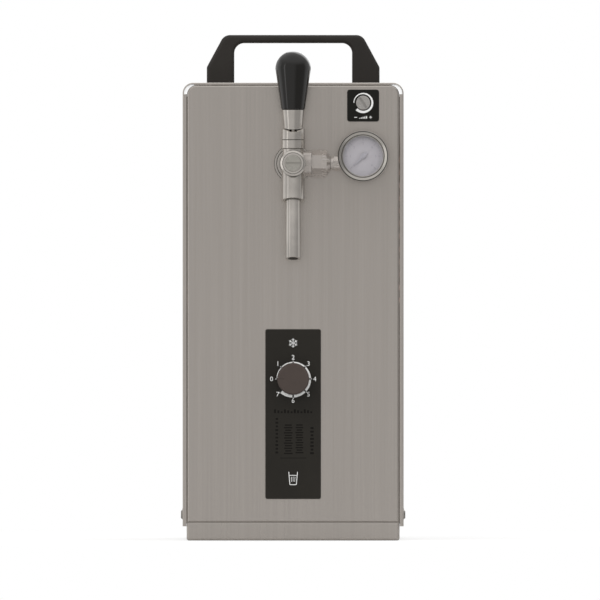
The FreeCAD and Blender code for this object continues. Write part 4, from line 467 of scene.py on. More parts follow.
@dataclass(frozen=True)
class Turned(Finish):
    """Metal turned on a lathe, with fine rings about an axis along Y; lengths in metres."""

    centre: Pair = (0.0, 0.0)
    # The driver's slot: its angle, and the half width and the reach of the shade painted along
    # it.
    slot_turn: float = 0.0
    slot_half: float = 0.0008
    slot_reach: float = 0.0052
    roughness: float = 0.3
    metallic: float = 0.9
    pitch: float = 0.00022

    def dress(self, graph: Graph) -> None:
        """Rings about the axis, blurred by noise, and painted shade in the driver's slot.

        Args:
            graph: the material's tree.
        """
        x, z, radius = graph.about(self.centre)
        rings = (radius * (2 * math.pi / self.pitch)).sine() * 0.5 + 0.5
        cloud = graph.noise(graph.place(), 300.0, 3.0)
        mixed = rings * 0.6 + cloud * 0.4
        worn = graph.edge_wear(0.0004)
        shade = graph.blend(mixed.ramp(0.15, 0.85), self.tint(0.72), self.colour)
        turn = math.radians(self.slot_turn)
        off_line = (x * math.sin(turn) + z * math.cos(turn)).size()
        # Painted shade: the slot's floor goes dark, less metallic and rougher, as if in shadow.
        slot = (off_line < self.slot_half) * (radius < self.slot_reach)
        painted_groove_shade = slot * (0.12 + cloud * 0.3)
        face = graph.blend(worn * 0.6, shade, self.tint(1.3))
        graph.surface(Base_Color=graph.blend(painted_groove_shade, face, self.tint(0.22)),
                      Metallic=self.metallic - painted_groove_shade * 0.5,
                      Roughness=self.roughness + (mixed - 0.5) * 0.2 + painted_groove_shade * 0.3)
        graph.bump(mixed, 0.25, 0.00004)


@dataclass(frozen=True)
class Moulded(Finish):
    """Moulded plastic with a fine sparked texture and rubbed edges."""

    roughness: float = 0.5
    texture: float = 1300.0
    depth: float = 0.00008
    rub: float = 0.35
    specular: float = 0.3

    def dress(self, graph: Graph) -> None:
        """Cell texture over soft waves, a little paler where it is handled.

        Args:
            graph: the material's tree.
        """
        where = graph.place()
        spark = graph.value("ShaderNodeTexVoronoi", {
            "Vector": where, "Scale": self.texture, "Smoothness": 0.6}, feature="SMOOTH_F1")
        wave = graph.noise(where, 60.0, 4.0)
        dust = graph.noise(where, 22.0, 5.0, 0.65)
        worn = graph.edge_wear()
        shade = graph.blend(dust.ramp(0.3, 0.75), self.tint(0.82), self.colour)
        graph.surface(Base_Color=graph.blend(worn * self.rub, shade, self.tint(1.5, 0.012)),
                      Roughness=self.roughness + (dust - 0.5) * 0.16 - worn * 0.1,
                      Specular_IOR_Level=self.specular)
        graph.bump(spark * 0.7 + wave * 0.3, 0.3, self.depth)


@dataclass(frozen=True)
class Lacquered(Finish):
    """Hard gloss surface with faint waves, hairline scratches and finger marks."""

    roughness: float = 0.12
    coat: float = 0.6
    specular: float = 0.3

    def dress(self, graph: Graph) -> None:
        """Gloss broken by marks in the roughness.

        Args:
            graph: the material's tree.
        """
        wave = graph.noise(graph.place(), 90.0)
        smear = graph.noise(graph.place(scale=(1, 1, 0.35)), 140.0, 4.0, 0.6)
        hair = graph.noise(graph.place(scale=(2600, 2600, 60), turn=(0.35, 0.2, 0)), 1.0, 1.0)
        marks = smear.ramp(0.45, 0.8) * 0.6 + hair.ramp(0.62, 0.7) * 0.4
        graph.surface(Base_Color=graph.blend(marks * 0.5, self.colour, self.tint(1.5, 0.006)),
                      Roughness=self.roughness + marks * 0.14,
                      Coat_Weight=self.coat, Coat_Roughness=0.06,
                      Specular_IOR_Level=self.specular)
        graph.bump(wave, 0.06, 0.0001)


@dataclass(frozen=True)
class Painted(Finish):
    """Sprayed or dipped paint with orange peel and chipped edges."""

    roughness: float = 0.36
    chip: Colour = (0.35, 0.34, 0.32)
    metallic: float = 0.0

    def dress(self, graph: Graph) -> None:
        """Orange peel, dust in the hollows and bare spots at the edges.

        Args:
            graph: the material's tree.
        """
        where = graph.place()
        peel = graph.noise(where, 700.0)
        dust = graph.noise(where, 35.0, 4.0)
        chips = graph.noise(where, 420.0, 3.0)
        worn = (graph.edge_wear(0.0015) * chips.ramp(0.5, 0.62)).held()
        shade = graph.blend(dust.ramp(0.3, 0.7), self.tint(0.8), self.colour)
        graph.surface(Base_Color=graph.blend(worn, shade, self.chip),
                      Metallic=self.metallic, Roughness=self.roughness + (dust - 0.5) * 0.2)
        graph.bump(peel, 0.2, 0.0001)


@dataclass(frozen=True)
class Printed(Finish):
    """Screen-printed ink, slightly uneven in cover."""

    roughness: float = 0.5
    specular: float = 0.4

    def dress(self, graph: Graph) -> None:
        """Ink with pin holes and a dull face.

        Args:
            graph: the material's tree.
        """
        ink = graph.noise(graph.place(), 900.0, 3.0, 0.6)
        graph.surface(Base_Color=graph.blend(ink.ramp(0.28, 0.5), self.tint(0.8), self.colour),
                      Roughness=self.roughness + (ink - 0.5) * 0.2,
                      Specular_IOR_Level=self.specular)
        graph.bump(ink, 0.1, 0.00002)


@dataclass(frozen=True)
class DialCard(Finish):
    """Enamelled dial with painted light towards its rim, against the bezel's shade; lengths in
    metres.
    """

    centre: Pair = (0.0, 0.0)
    radius: float = 0.014
    roughness: float = 0.55

    def dress(self, graph: Graph) -> None:
        """Painted light growing towards the rim, a faint random tone, and a fine tooth.

        Args:
            graph: the material's tree.
        """
        away = graph.about(self.centre)[2] * (1 / self.radius)
        tooth = graph.noise(graph.place(), 1800.0)
        cloud = graph.noise(graph.place(), 150.0, 3.0)
        # Painted light: paler towards the rim, where the deep bezel casts shade on the dial.
        share = (away.ramp(0.55, 1.05) * 0.8 + (cloud - 0.5) * 0.3).held()
        graph.surface(Base_Color=graph.blend(share, self.colour, self.tint(1.06)),
                      Roughness=self.roughness + (tooth - 0.5) * 0.1)
        graph.bump(tooth, 0.05, 0.00003)


@dataclass(frozen=True)
class ClearPane(Finish):
    """Flat clear pane: transparent, with a reflection that grows at the edges."""

    def dress(self, graph: Graph) -> None:
        """A clear shader mixed with gloss, which grows where the pane is seen aslant.

        Args:
            graph: the material's tree.
        """
        smear = graph.noise(graph.place(), 220.0, 3.0)
        aslant = graph.value("ShaderNodeLayerWeight", {"Blend": 0.5}, "Facing")
        clear = graph.node("ShaderNodeBsdfTransparent", {"Color": self.colour})
        gloss = graph.node("ShaderNodeBsdfGlossy", {"Roughness": 0.05})
        share = (aslant ** 5.0 * 0.9 + 0.03 + smear.ramp(0.5, 0.9) * 0.02).held()
        graph.show(graph.node("ShaderNodeMixShader", {0: share, 1: clear, 2: gloss}))


@dataclass(frozen=True)
class Cellular(Finish):
    """Rigid foam: closed cells with a skinned, slightly wavy face."""

    roughness: float = 0.85

    def dress(self, graph: Graph) -> None:
        """Cells in the bump and a mottled tone.

        Args:
            graph: the material's tree.
        """
        where = graph.place()
        cells = graph.value("ShaderNodeTexVoronoi", {"Vector": where, "Scale": 900.0})
        mottle = graph.noise(where, 70.0, 4.0)
        graph.surface(
            Base_Color=graph.blend(mottle.ramp(0.3, 0.7), self.tint(0.78), self.colour),
            Roughness=self.roughness + (mottle - 0.5) * 0.1)
        graph.bump(cells * 0.6 + mottle * 0.4, 0.5, 0.0004)


class Shop:
    """Every finish on the dispenser."""

    CASE = Brushed("brushed_case", linear(188, 181, 174), roughness=0.3)
    COVER = BentCover("brushed_cover", linear(188, 181, 174), roughness=0.3)
    PANEL = Brushed("brushed_panel", linear(186, 179, 172), roughness=0.2)
    STAND = Brushed("galvanised_stand", linear(150, 152, 154), Grain.LENGTHWISE, 0.5)
    HANDLE = Moulded("handle_moulding", linear(49, 46, 43), roughness=0.46, specular=0.22)
    KNOB = Lacquered("knob_gloss_black", linear(19, 17, 14), roughness=0.05, coat=0.0,
                     specular=0.5)
    CHROME = Plated("satin_chrome", linear(200, 194, 187), roughness=0.15)
    # Painted light: a paler, less metallic copy of the chrome, so that the tee, the union nut and
    # the gauge stub come out lighter.
    TEE = Plated("tee_chrome_painted_lighter", linear(217, 209, 202), roughness=0.28, metallic=0.6)
    GAUGE = Plated("polished_gauge_steel", linear(190, 185, 178), roughness=0.18)
    SCREW = Plated("zinc_screw", linear(150, 146, 140), roughness=0.34)
    PLATE = Moulded("black_anodised_plate", linear(39, 36, 31), roughness=0.4, texture=2600.0,
                    depth=0.00003, rub=0.5, specular=0.22)
    TAG = Moulded("black_tag", linear(25, 24, 20), roughness=0.42, texture=2600.0,
                  depth=0.00003, rub=0.5, specular=0.2)
    DIAL_KNOB = Moulded("dial_knob_plastic", linear(75, 65, 60), roughness=0.42)
    DARK = Moulded("black_plastic", linear(34, 33, 32), roughness=0.48)
    FAN = Moulded("fan_plastic", linear(38, 38, 39), roughness=0.4)
    ROCKER = Lacquered("rocker_gloss", linear(30, 30, 31), roughness=0.2, coat=0.3)
    FITTING = Moulded("grey_acetal", linear(92, 94, 97), roughness=0.38)
    COLLET = Moulded("collet_acetal", linear(196, 196, 192), roughness=0.36)
    RUBBER = Moulded("black_rubber", linear(30, 29, 28), roughness=0.72, texture=700.0)
    WHITE_INK = Printed("white_ink", linear(250, 250, 248))
    FAINT_INK = Printed("faint_ink", linear(21, 19, 16), specular=0.12)
    DIAL_INK = Printed("dial_ink", linear(156, 152, 160))
    POINTER = Moulded("pointer_enamel", linear(184, 181, 186), roughness=0.4)
    BRASS = Plated("machined_brass", linear(196, 164, 96), roughness=0.3)
    COPPER = Plated("drawn_copper", linear(190, 118, 84), roughness=0.32)
    BLOCK = Brushed("cast_aluminium", linear(188, 189, 190), Grain.ACROSS, 0.5)
    FIN = Brushed("fin_aluminium", linear(196, 197, 199), Grain.UPRIGHT, 0.4)
    COMPRESSOR = Painted("compressor_enamel", linear(26, 26, 27))
    PUMP = Painted("pump_zinc", linear(150, 150, 150), roughness=0.42, metallic=0.7)
    NICKEL = Plated("black_nickel", linear(58, 56, 53), roughness=0.3)
    WIRE = Plated("guard_wire", linear(168, 166, 162), roughness=0.3)
    FOAM = Cellular("insulation_foam", linear(222, 214, 188))
    HOSE = Lacquered("hose_polymer", linear(206, 212, 214), roughness=0.3, coat=0.2)
    LENS = ClearPane("gauge_pane", (0.985, 0.985, 0.99))


# ------------------------------------------------------------------ pieces


def place_piece(name: str, mesh: bpy.types.Mesh, finish: Finish, body: str,
                replaces: Sequence[str] = ()) -> None:
    """Puts a finished mesh in the scene and ties it to a body.

    Args:
        name: the piece's name.
        mesh: its mesh, in metres, in the dispenser's own frame.
        finish: its surface.
        body: the moving body that carries it.
        replaces: nodes that it stands for.
    """
    finish.cover(mesh)
    piece = add_object(name, mesh)
    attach(piece, body)
    if replaces:
        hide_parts(*replaces)
    LOG.info("piece %s: %d faces on %s", name, len(mesh.polygons), body)


@dataclass
class InkPrint:
    """Flat marks on an upright face seen from the front, drawn in millimetres in X and Z."""

    name: str
    face: float
    depth: float = 0.06
    sheet: bmesh.types.BMesh = field(default_factory=bmesh.new)

    def point(self, x: float, z: float) -> bmesh.types.BMVert:
        """Adds a corner."""
        return self.sheet.verts.new((x, self.face, z))

    def bar(self, start: Pair, end: Pair, width: float) -> None:
        """Adds a straight line.

        Args:
            start: one end.
            end: the other end.
            width: its width.
        """
        run_x, run_z = end[0] - start[0], end[1] - start[1]
        length = math.hypot(run_x, run_z)
        side_x, side_z = -run_z / length * width / 2, run_x / length * width / 2
        self.sheet.faces.new([
            self.point(x + sign * side_x, z + sign * side_z)
            for (x, z), sign in ((start, 1), (start, -1), (end, -1), (end, 1))])

    def chain(self, points: Sequence[Pair], width: float) -> None:
        """Adds a line through several points."""
        for start, end in zip(points, points[1:]):
            self.bar(start, end, width)

    def arc(self, centre: Pair, inner: Callable[[float], float],
            outer: Callable[[float], float], start: float, stop: float, steps: int) -> None:
        """Adds an arc whose edges follow two rules.

        Args:
            centre: its centre.
            inner: inner radius for a clock angle in degrees.
            outer: outer radius for a clock angle in degrees.
            start: first clock angle.
            stop: last clock angle.
            steps: number of pieces.
        """
        rows = []
        for number in range(steps + 1):
            angle = start + (stop - start) * number / steps
            turn = math.radians(angle)
            rows.append([self.point(*polar(centre, radius, turn))
                         for radius in (inner(angle), outer(angle))])
        for (a, b), (c, d) in zip(rows, rows[1:]):
            self.sheet.faces.new((a, b, d, c))

    def text(self, words: str, height: float, centre: Pair) -> None:
        """Adds figures.

        Args:
            words: the figures.
            height: their height.
            centre: the middle of them.
        """
        curve = bpy.data.curves.new("figures", "FONT")
        curve.body = words
        curve.size = 1.0
        curve.resolution_u = 6
        flat = plain_mesh(add_object("figures", curve))
        bpy.data.curves.remove(curve)
        xs = [vertex.co.x for vertex in flat.vertices]
        ys = [vertex.co.y for vertex in flat.vertices]
        mid_x, mid_y = (min(xs) + max(xs)) / 2, (min(ys) + max(ys)) / 2
        scale = height / (max(ys) - min(ys))
        verts = [self.point(centre[0] + (x - mid_x) * scale, centre[1] + (y - mid_y) * scale)
                 for x, y in zip(xs, ys)]
        for polygon in flat.polygons:
            self.sheet.faces.new([verts[number] for number in polygon.vertices])
        bpy.data.meshes.remove(flat)

    def place(self, finish: Finish, body: str) -> None:
        """Gives the marks their thickness and puts them on a body.

        Args:
            finish: the ink.
            body: the moving body that carries them.
        """
        sheet = self.sheet
        bmesh.ops.recalc_face_normals(sheet, faces=sheet.faces[:])
        grown = bmesh.ops.extrude_face_region(sheet, geom=sheet.faces[:])
        moved = [item for item in grown["geom"] if isinstance(item, bmesh.types.BMVert)]
        bmesh.ops.translate(sheet, verts=moved, vec=(0, -self.depth, 0))
        bmesh.ops.recalc_face_normals(sheet, faces=sheet.faces[:])
        bmesh.ops.scale(sheet, vec=(MM, MM, MM), verts=sheet.verts[:])
        mesh = bpy.data.meshes.new(self.name)
        sheet.to_mesh(mesh)
        sheet.free()
        place_piece(self.name, mesh, finish, body)


class Modelling(Tree):
    """A geometry node tree with named inputs, turned into a plain mesh at the end."""

    def __init__(self, name: str) -> None:
        """Starts the tree with its output.

        Args:
            name: the tree's name.
        """
        self.group = bpy.data.node_groups.new(name, "GeometryNodeTree")
        super().__init__(self.group)
        self.group.interface.new_socket("Geometry", in_out="OUTPUT",
                                        socket_type="NodeSocketGeometry")
        self.values: dict[str, float | int] = {}
        self.inputs = self.node("NodeGroupInput")

    def size(self, name: str, value: float | int) -> Value:
        """Adds a named input.

        Args:
            name: what the input is called.
            value: the whole number, the angle or the length in metres that it gets.

        Returns:
            The input inside the tree.
        """
        kind = "NodeSocketInt" if isinstance(value, int) else "NodeSocketFloat"
        socket = self.group.interface.new_socket(name, in_out="INPUT", socket_type=kind)
        self.values[socket.identifier] = value
        return Value(self, self.inputs.outputs[name])

    def index(self) -> Value:
        """The number of each copy."""
        return self.value("GeometryNodeInputIndex")

    def vector(self, x: float | Value = 0.0, y: float | Value = 0.0,
               z: float | Value = 0.0) -> bpy.types.Node:
        """A vector of three numbers."""
        return self.node("ShaderNodeCombineXYZ", {"X": x, "Y": y, "Z": z})

    def box(self, x: float | Value, y: float | Value, z: float | Value) -> bpy.types.Node:
        """A box of three lengths."""
        return self.node("GeometryNodeMeshCube", {"Size": self.vector(x, y, z)})

    def ring(self, radius: float | Value, sides: int) -> bpy.types.Node:
        """A closed round curve about Z."""
        return self.node("GeometryNodeCurvePrimitiveCircle",
                         {"Resolution": sides, "Radius": radius}, mode="RADIUS")

    def copies(self, piece: bpy.types.Node, count: int | Value, place: bpy.types.Node,
               **inputs: object) -> bpy.types.Node:
        """Sets copies of a piece out.

        Args:
            piece: what is copied.
            count: number of copies.
            place: where each copy goes.
            inputs: each copy's Rotation or Scale.

        Returns:
            The instances.
        """
        points = self.node("GeometryNodePoints", {"Count": count, "Position": place})
        return self.node("GeometryNodeInstanceOnPoints",
                         {"Points": points, "Instance": piece, **inputs})

    def mesh(self, geometry: bpy.types.Node, finish: Finish, smooth: bool) -> bpy.types.Mesh:
        """Ends the tree and turns its result into a plain mesh.

        Args:
            geometry: what the tree makes.
            finish: its surface.
            smooth: whether its faces are shaded smooth.

        Returns:
            The mesh, in metres.
        """
        real = self.node("GeometryNodeRealizeInstances", {"Geometry": geometry})
        shaded = self.node("GeometryNodeSetShadeSmooth",
                           {"Geometry": real, "Shade Smooth": smooth})
        dressed = self.node("GeometryNodeSetMaterial",
                            {"Geometry": shaded, "Material": finish.material()})
        self.node("NodeGroupOutput", {0: dressed})
        holder = add_object(self.group.name, bpy.data.meshes.new(self.group.name))
        modifier = holder.modifiers.new("shape", "NODES")
        modifier.node_group = self.group
        for identifier, value in self.values.items():
            modifier[identifier] = value
        return plain_mesh(holder)


# ------------------------------------------------------------------ sub-assemblies


@dataclass
class Assembly:
    """What every sub-assembly shares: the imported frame's nodes."""

    nodes: dict[str, bpy.types.Object]

    def dress(self, finish: Finish, *names: str) -> None:
        """Gives nodes a finish.

        Args:
            finish: the surface.
            names: the nodes.
        """
        for name in names:
            finish.cover(self.nodes[name].data)
            LOG.info("node %s: %s", name, finish.name)


@dataclass
class Case(Assembly):
    """Sheet-metal case, its screws and the carry handle."""

    def build(self) -> None:
        """Dresses the case."""
        self.dress(Shop.COVER, "outer_cover")
        self.dress(Shop.CASE, "base_pan", "rear_panel")
        self.dress(Shop.PANEL, "front_panel")
        self.dress(Shop.HANDLE, "carry_handle")
        self.dress(Shop.SCREW, "cover_fasteners", "handle_screws", "panel_nuts")


@dataclass
class Tap(Assembly):
    """Lever tap with its rosette, tee and gauge stub; lengths in metres."""

    axis: Pair = (0.0, 0.2633)

    def build(self) -> None:
        """Dresses the tap."""
        self.dress(Shop.CHROME, "wall_flange", "tap_shank", "tap_body", "tap_bonnet",
                   "tap_lever", "tap_spout")
        self.dress(Shop.TEE, "gauge_tee", "union_nut", "gauge_stub")
        # The flow screw's finish paints shade along its slot.
        self.dress(Turned("turned_flow_screw", linear(200, 196, 187), self.axis), "flow_screw")
        self.dress(Shop.KNOB, "lever_knob")
        self.dress(Shop.RUBBER, "ball_seat", "piston_seals")
        self.dress(Shop.BRASS, "tap_piston")


@dataclass
class Gauge(Assembly):
    """Pressure gauge: case, bezel, pane, dial and pointer; lengths in millimetres."""

    centre: Pair = (48.7, 268.3)
    dial_face: float = -165.6
    # Inner and outer radii of the bezel's grooves, where rings of shade are painted.
    bezel_lines: tuple[Pair, ...] = ((16.8, 17.45), (14.5, 15.05))
    scale_radius: float = 12.4
    first: float = 225.0
    sweep: float = 270.0
    minor: float = 0.9
    major: float = 1.9
    fine_width: float = 0.16
    main_width: float = 0.3
    ink_depth: float = 0.06
    per_figure: int = 5
    figure_height: float = 1.6
    figure_gap: float = 1.7
    figures: str = "0123456"

    def build(self) -> None:
        """Dresses the gauge and prints its scale."""
        where = (self.centre[0] * MM, self.centre[1] * MM)
        lines = tuple((inner * MM, outer * MM) for inner, outer in self.bezel_lines)
        self.dress(Shop.GAUGE, "gauge_case")
        # The bezel's steel carries rings of painted shade at its grooves.
        self.dress(replace(Shop.GAUGE, name="gauge_steel_painted_rings", centre=where, lines=lines),
                   "gauge_bezel")
        self.dress(Shop.LENS, "gauge_lens")
        self.dress(DialCard("gauge_dial_card", linear(188, 184, 187), where), "gauge_dial")
        self.dress(Shop.BRASS, "gauge_movement")
        self.dress(Shop.POINTER, "gauge_pointer")
        self.print_scale()

    def print_scale(self) -> None:
        """Prints the figures, and sets the scale's lines round the dial."""
        marks = InkPrint("gauge_figures", self.dial_face)
        last = len(self.figures) - 1
        reach = self.scale_radius - self.major - self.figure_gap
        for number, figure in enumerate(self.figures):
            turn = math.radians(self.first + self.sweep * number / last)
            marks.text(figure, self.figure_height, polar(self.centre, reach, turn))
        marks.place(Shop.DIAL_INK, "case")
        for name, count, length, width in (
                ("gauge_scale_fine", last * self.per_figure + 1, self.minor, self.fine_width),
                ("gauge_scale_main", last + 1, self.major, self.main_width)):
            place_piece(name, self.scale_lines(name, count, length, width), Shop.DIAL_INK, "case")

    def scale_lines(self, name: str, count: int, length: float, width: float
                    ) -> bpy.types.Mesh:
        """Lines round the dial.

        Args:
            name: the tree's name.
            count: number of lines.
            length: a line's length.
            width: a line's width.

        Returns:
            The mesh.
        """
        tree = Modelling(name)
        lines = tree.size("Lines", count)
        reach = tree.size("Scale radius", self.scale_radius * MM)
        sweep = tree.size("Sweep", math.radians(self.sweep))
        first = tree.size("First line", math.radians(self.first))
        long = tree.size("Line length", length * MM)
        wide = tree.size("Line width", width * MM)
        angle = first + tree.index() * (sweep / (lines - 1.0))
        middle = reach - long * 0.5
        place = tree.vector(middle * angle.sine() + self.centre[0] * MM,
                            (self.dial_face - self.ink_depth / 2) * MM,
                            middle * angle.cosine() + self.centre[1] * MM)
        bar = tree.box(wide, self.ink_depth * MM, long)
        return tree.mesh(tree.copies(bar, lines, place, Rotation=tree.vector(y=angle)),
                         Shop.DIAL_INK, smooth=False)


@dataclass
class Controls(Assembly):
    """Thermostat with its printed plate, and the regulator with its own; in millimetres."""

    plate_face: float = -126.8
    turn_range: float = 315.0
    first: float = 270.0
    step: float = 45.0
    dial: Pair = (0.0, 112.9)
    knob_radius: float = 11.25
    ring_inside: float = 0.15
    ring_start: float = 0.35
    ring_growth: float = 1.7
    ring_gap: float = 2.6
    first_gap: float = 4.0
    tick_start: float = -0.1
    tick_end: float = 0.8
    tick_width: float = 0.4
    figure_reach: float = 15.1
    figure_height: float = 3.15
    snowflake: Pair = (0.0, 138.0)
    snowflake_arm: float = 3.2
    glass: Pair = (0.0, 43.5)
    glass_height: float = 9.0
    regulator: Pair = (48.9, 305.8)
    arc_radius: float = 6.45
    arc_half: float = 0.25
    arc_growth: float = 0.68
    signs: float = 295.6
    sign_reach: float = 5.2
    sign_width: float = 0.5

    def build(self) -> None:
        """Dresses the controls and prints their marks."""
        self.dress(Shop.PLATE, "control_plate")
        self.dress(Shop.TAG, "regulator_plate")
        self.dress(Shop.DIAL_KNOB, "thermostat_knob")
        self.dress(Shop.SCREW, "thermostat_shaft")
        self.dress(Shop.DARK, "thermostat_body")
        place = (self.regulator[0] * MM, self.regulator[1] * MM)
        # The regulator screw's finish paints shade along its slot.
        self.dress(Turned("turned_regulator_screw", linear(204, 200, 195), place,
                          slot_turn=57.0, slot_half=0.0009, slot_reach=0.0043),
                   "regulator_screw")
        self.dress(Shop.NICKEL, "regulator_body")
        self.print_dial()
        self.print_regulator()
        self.print_faint_text()

    def print_dial(self) -> None:
        """Ring that thickens with the setting, its ticks, its figures and two symbols."""
        marks = InkPrint("thermostat_print", self.plate_face)

        def inner(_: float) -> float:
            """Inside of the ring, just under the knob's edge."""
            return self.knob_radius - self.ring_inside

        def outer(angle: float) -> float:
            """Outside of the ring, growing clockwise."""
            share = (angle - self.first) / self.turn_range
            return self.knob_radius + self.ring_start + self.ring_growth * share ** 1.25

        for number in range(round(self.turn_range / self.step) + 1):
            angle = self.first + self.step * number
            turn = math.radians(angle)
            marks.bar(polar(self.dial, outer(angle) + self.tick_start, turn),
                      polar(self.dial, outer(angle) + self.tick_end, turn), self.tick_width)
            marks.text(str(number), self.figure_height,
                       polar(self.dial, self.figure_reach, turn))
            if number:
                gap = self.ring_gap if number > 1 else self.first_gap
                marks.arc(self.dial, inner, outer, angle - self.step + gap,
                          angle - self.ring_gap, 12)
        self.draw_snowflake(marks, self.snowflake, self.snowflake_arm)
        self.draw_glass(marks, self.glass, self.glass_height)
        marks.place(Shop.WHITE_INK, "case")

    def draw_snowflake(self, marks: InkPrint, centre: Pair, radius: float) -> None:
        """Draws six arms with a pair of twigs each.

        Args:
            marks: where it is drawn.
            centre: its centre.
            radius: length of an arm.
        """
        for number in range(6):
            turn = math.radians(60 * number)
            marks.bar(polar(centre, 0.3, turn), polar(centre, radius, turn), 0.42)
            base = polar(centre, 0.55 * radius, turn)
            for side in (-1, 1):
                twig = turn + side * math.radians(50)
                marks.bar(base, polar(base, 0.36 * radius, twig), 0.34)

    def draw_glass(self, marks: InkPrint, centre: Pair, height: float) -> None:
        """Draws a plain tumbler with a level of drink and streaks under it.

        Args:
            marks: where it is drawn.
            centre: its centre.
            height: its height.
        """
        x, z = centre
        half, top, foot = height / 2, height * 0.34, height * 0.25
        marks.chain([(x - top, z + half), (x - foot, z - half), (x + foot, z - half),
                     (x + top, z + half)], 0.45)
        level = z + half * 0.45
        wide = foot + (top - foot) * 0.72
        marks.bar((x - wide, level), (x + wide, level), 0.4)
        for step in (-0.5, 0.0, 0.5):
            marks.bar((x + step * foot, z - half * 0.55),
                      (x + step * foot * 1.15, level - 1.0), 0.3)

    def print_regulator(self) -> None:
        """Tapered arc round the screw, from nine o'clock clockwise, with minus and plus."""
        marks = InkPrint("regulator_print", self.plate_face)

        def half(angle: float) -> float:
            """Half the arc's width at a clock angle."""
            return self.arc_half + self.arc_growth * ((angle - self.first) / self.turn_range)

        marks.arc(self.regulator, lambda angle: self.arc_radius - half(angle),
                  lambda angle: self.arc_radius + half(angle), self.first,
                  self.first + self.turn_range, 60)
        x, z = self.regulator[0], self.signs
        for middle in (x - self.sign_reach, x + self.sign_reach):
            marks.bar((middle - 1.0, z), (middle + 1.0, z), self.sign_width)
        plus = x + self.sign_reach
        marks.bar((plus, z - 1.0), (plus, z + 1.0), self.sign_width)
        for number in range(5):
            middle, foot = x - 2.4 + 1.2 * number, z - 0.9
            marks.bar((middle, foot), (middle, foot + 0.5 + 0.33 * number), 0.7)
        marks.place(Shop.WHITE_INK, "case")

    def print_faint_text(self) -> None:
        """Dark strokes where the plate carries small print, with no words in them."""
        marks = InkPrint("faint_print", self.plate_face, depth=0.03)
        shares = (1.0, 0.8, 0.94, 0.7)
        for middle, wide, high, foot, rows, pitch in (
                (-11.4, 2.0, 1.3, 61.5, 10, 2.6), (-3.4, 6.0, 0.9, 60.8, 12, 1.8),
                (4.4, 5.5, 0.9, 61.4, 12, 1.75), (13.2, 2.6, 1.4, 61.0, 8, 2.5)):
            for row in range(rows):
                half = wide * shares[(row * 3 + rows) % 4] / 2
                level = foot + pitch * row
                marks.bar((middle - half, level), (middle + half, level), high)
        for number in range(12):
            x = -12.6 + 2.3 * number
            marks.bar((x, 89.0), (x, 91.6 - 0.7 * (number % 3)), 1.3)
        marks.bar((-9.0, 57.6), (9.0, 57.6), 0.4)
        marks.place(Shop.FAINT_INK, "case")


@dataclass
class Rear(Assembly):
    """Rear fittings, switches, fan and its round-wire guard; lengths in millimetres."""

    fan_height: float = 232.0
    guard_face: float = 126.25
    wire: float = 0.95
    rings: int = 7
    first_ring: float = 10.0
    ring_step: float = 7.333
    spoke_start: float = 8.0
    hole_pitch: float = 105.0
    eye: float = 3.1

    def build(self) -> None:
        """Dresses the fittings and the fan, and makes the guard."""
        self.dress(Shop.FITTING, "rear_fittings")
        self.dress(Shop.COLLET, "inlet_collet", "outlet_collet")
        self.dress(Shop.DARK, "mains_inlet", "switch_bodies")
        self.dress(Shop.ROCKER, "power_rocker", "pump_rocker")
        self.dress(Shop.FAN, "fan_frame", "fan_rotor")
        self.dress(Shop.SCREW, "fan_screws")
        self.dress(Shop.WIRE, "fan_grille")
        place_piece("wire_guard", self.guard(), Shop.WIRE, "case",
                    ["fan_grille"])

    def guard(self) -> bpy.types.Mesh:
        """Concentric rings on four radial wires that end in eyes round the screws.

        Returns:
            The mesh.
        """
        tree = Modelling("wire_guard")
        radius = tree.size("Wire radius", self.wire * MM)
        rings = tree.size("Rings", self.rings)
        first = tree.size("First ring", self.first_ring * MM)
        step = tree.size("Ring step", self.ring_step * MM)
        depth = tree.size("Ring depth", self.guard_face * MM)
        height = self.fan_height * MM
        upright = (math.pi / 2, 0.0, 0.0)
        circles = tree.copies(tree.ring(1.0, 96), rings, tree.vector(0.0, depth + radius, height),
                              Rotation=upright, Scale=first + tree.index() * step)
        corner = self.hole_pitch / 2 * math.sqrt(2)
        spoke = tree.node("GeometryNodeCurvePrimitiveLine", {
            "Start": (self.spoke_start * MM, 0.0, 0.0),
            "End": ((corner - self.eye) * MM, 0.0, 0.0)})
        eye = tree.node("GeometryNodeTransform", {
            "Geometry": tree.ring(self.eye * MM, 24), "Translation": (corner * MM, 0.0, 0.0),
            "Rotation": upright})
        arm = tree.node("GeometryNodeJoinGeometry", {"Geometry": [spoke, eye]})
        quarter = tree.index() * (math.pi / 2) + math.pi / 4
        arms = tree.copies(arm, 4, tree.vector(0.0, depth + radius * 2.2, height),
                           Rotation=tree.vector(y=quarter))
        both = tree.node("GeometryNodeJoinGeometry", {"Geometry": [circles, arms]})
        wires = tree.node("GeometryNodeCurveToMesh", {
            "Curve": tree.node("GeometryNodeRealizeInstances", {"Geometry": both}),
            "Profile Curve": tree.ring(radius, 10), "Fill Caps": True})
        return tree.mesh(wires, Shop.WIRE, smooth=True)


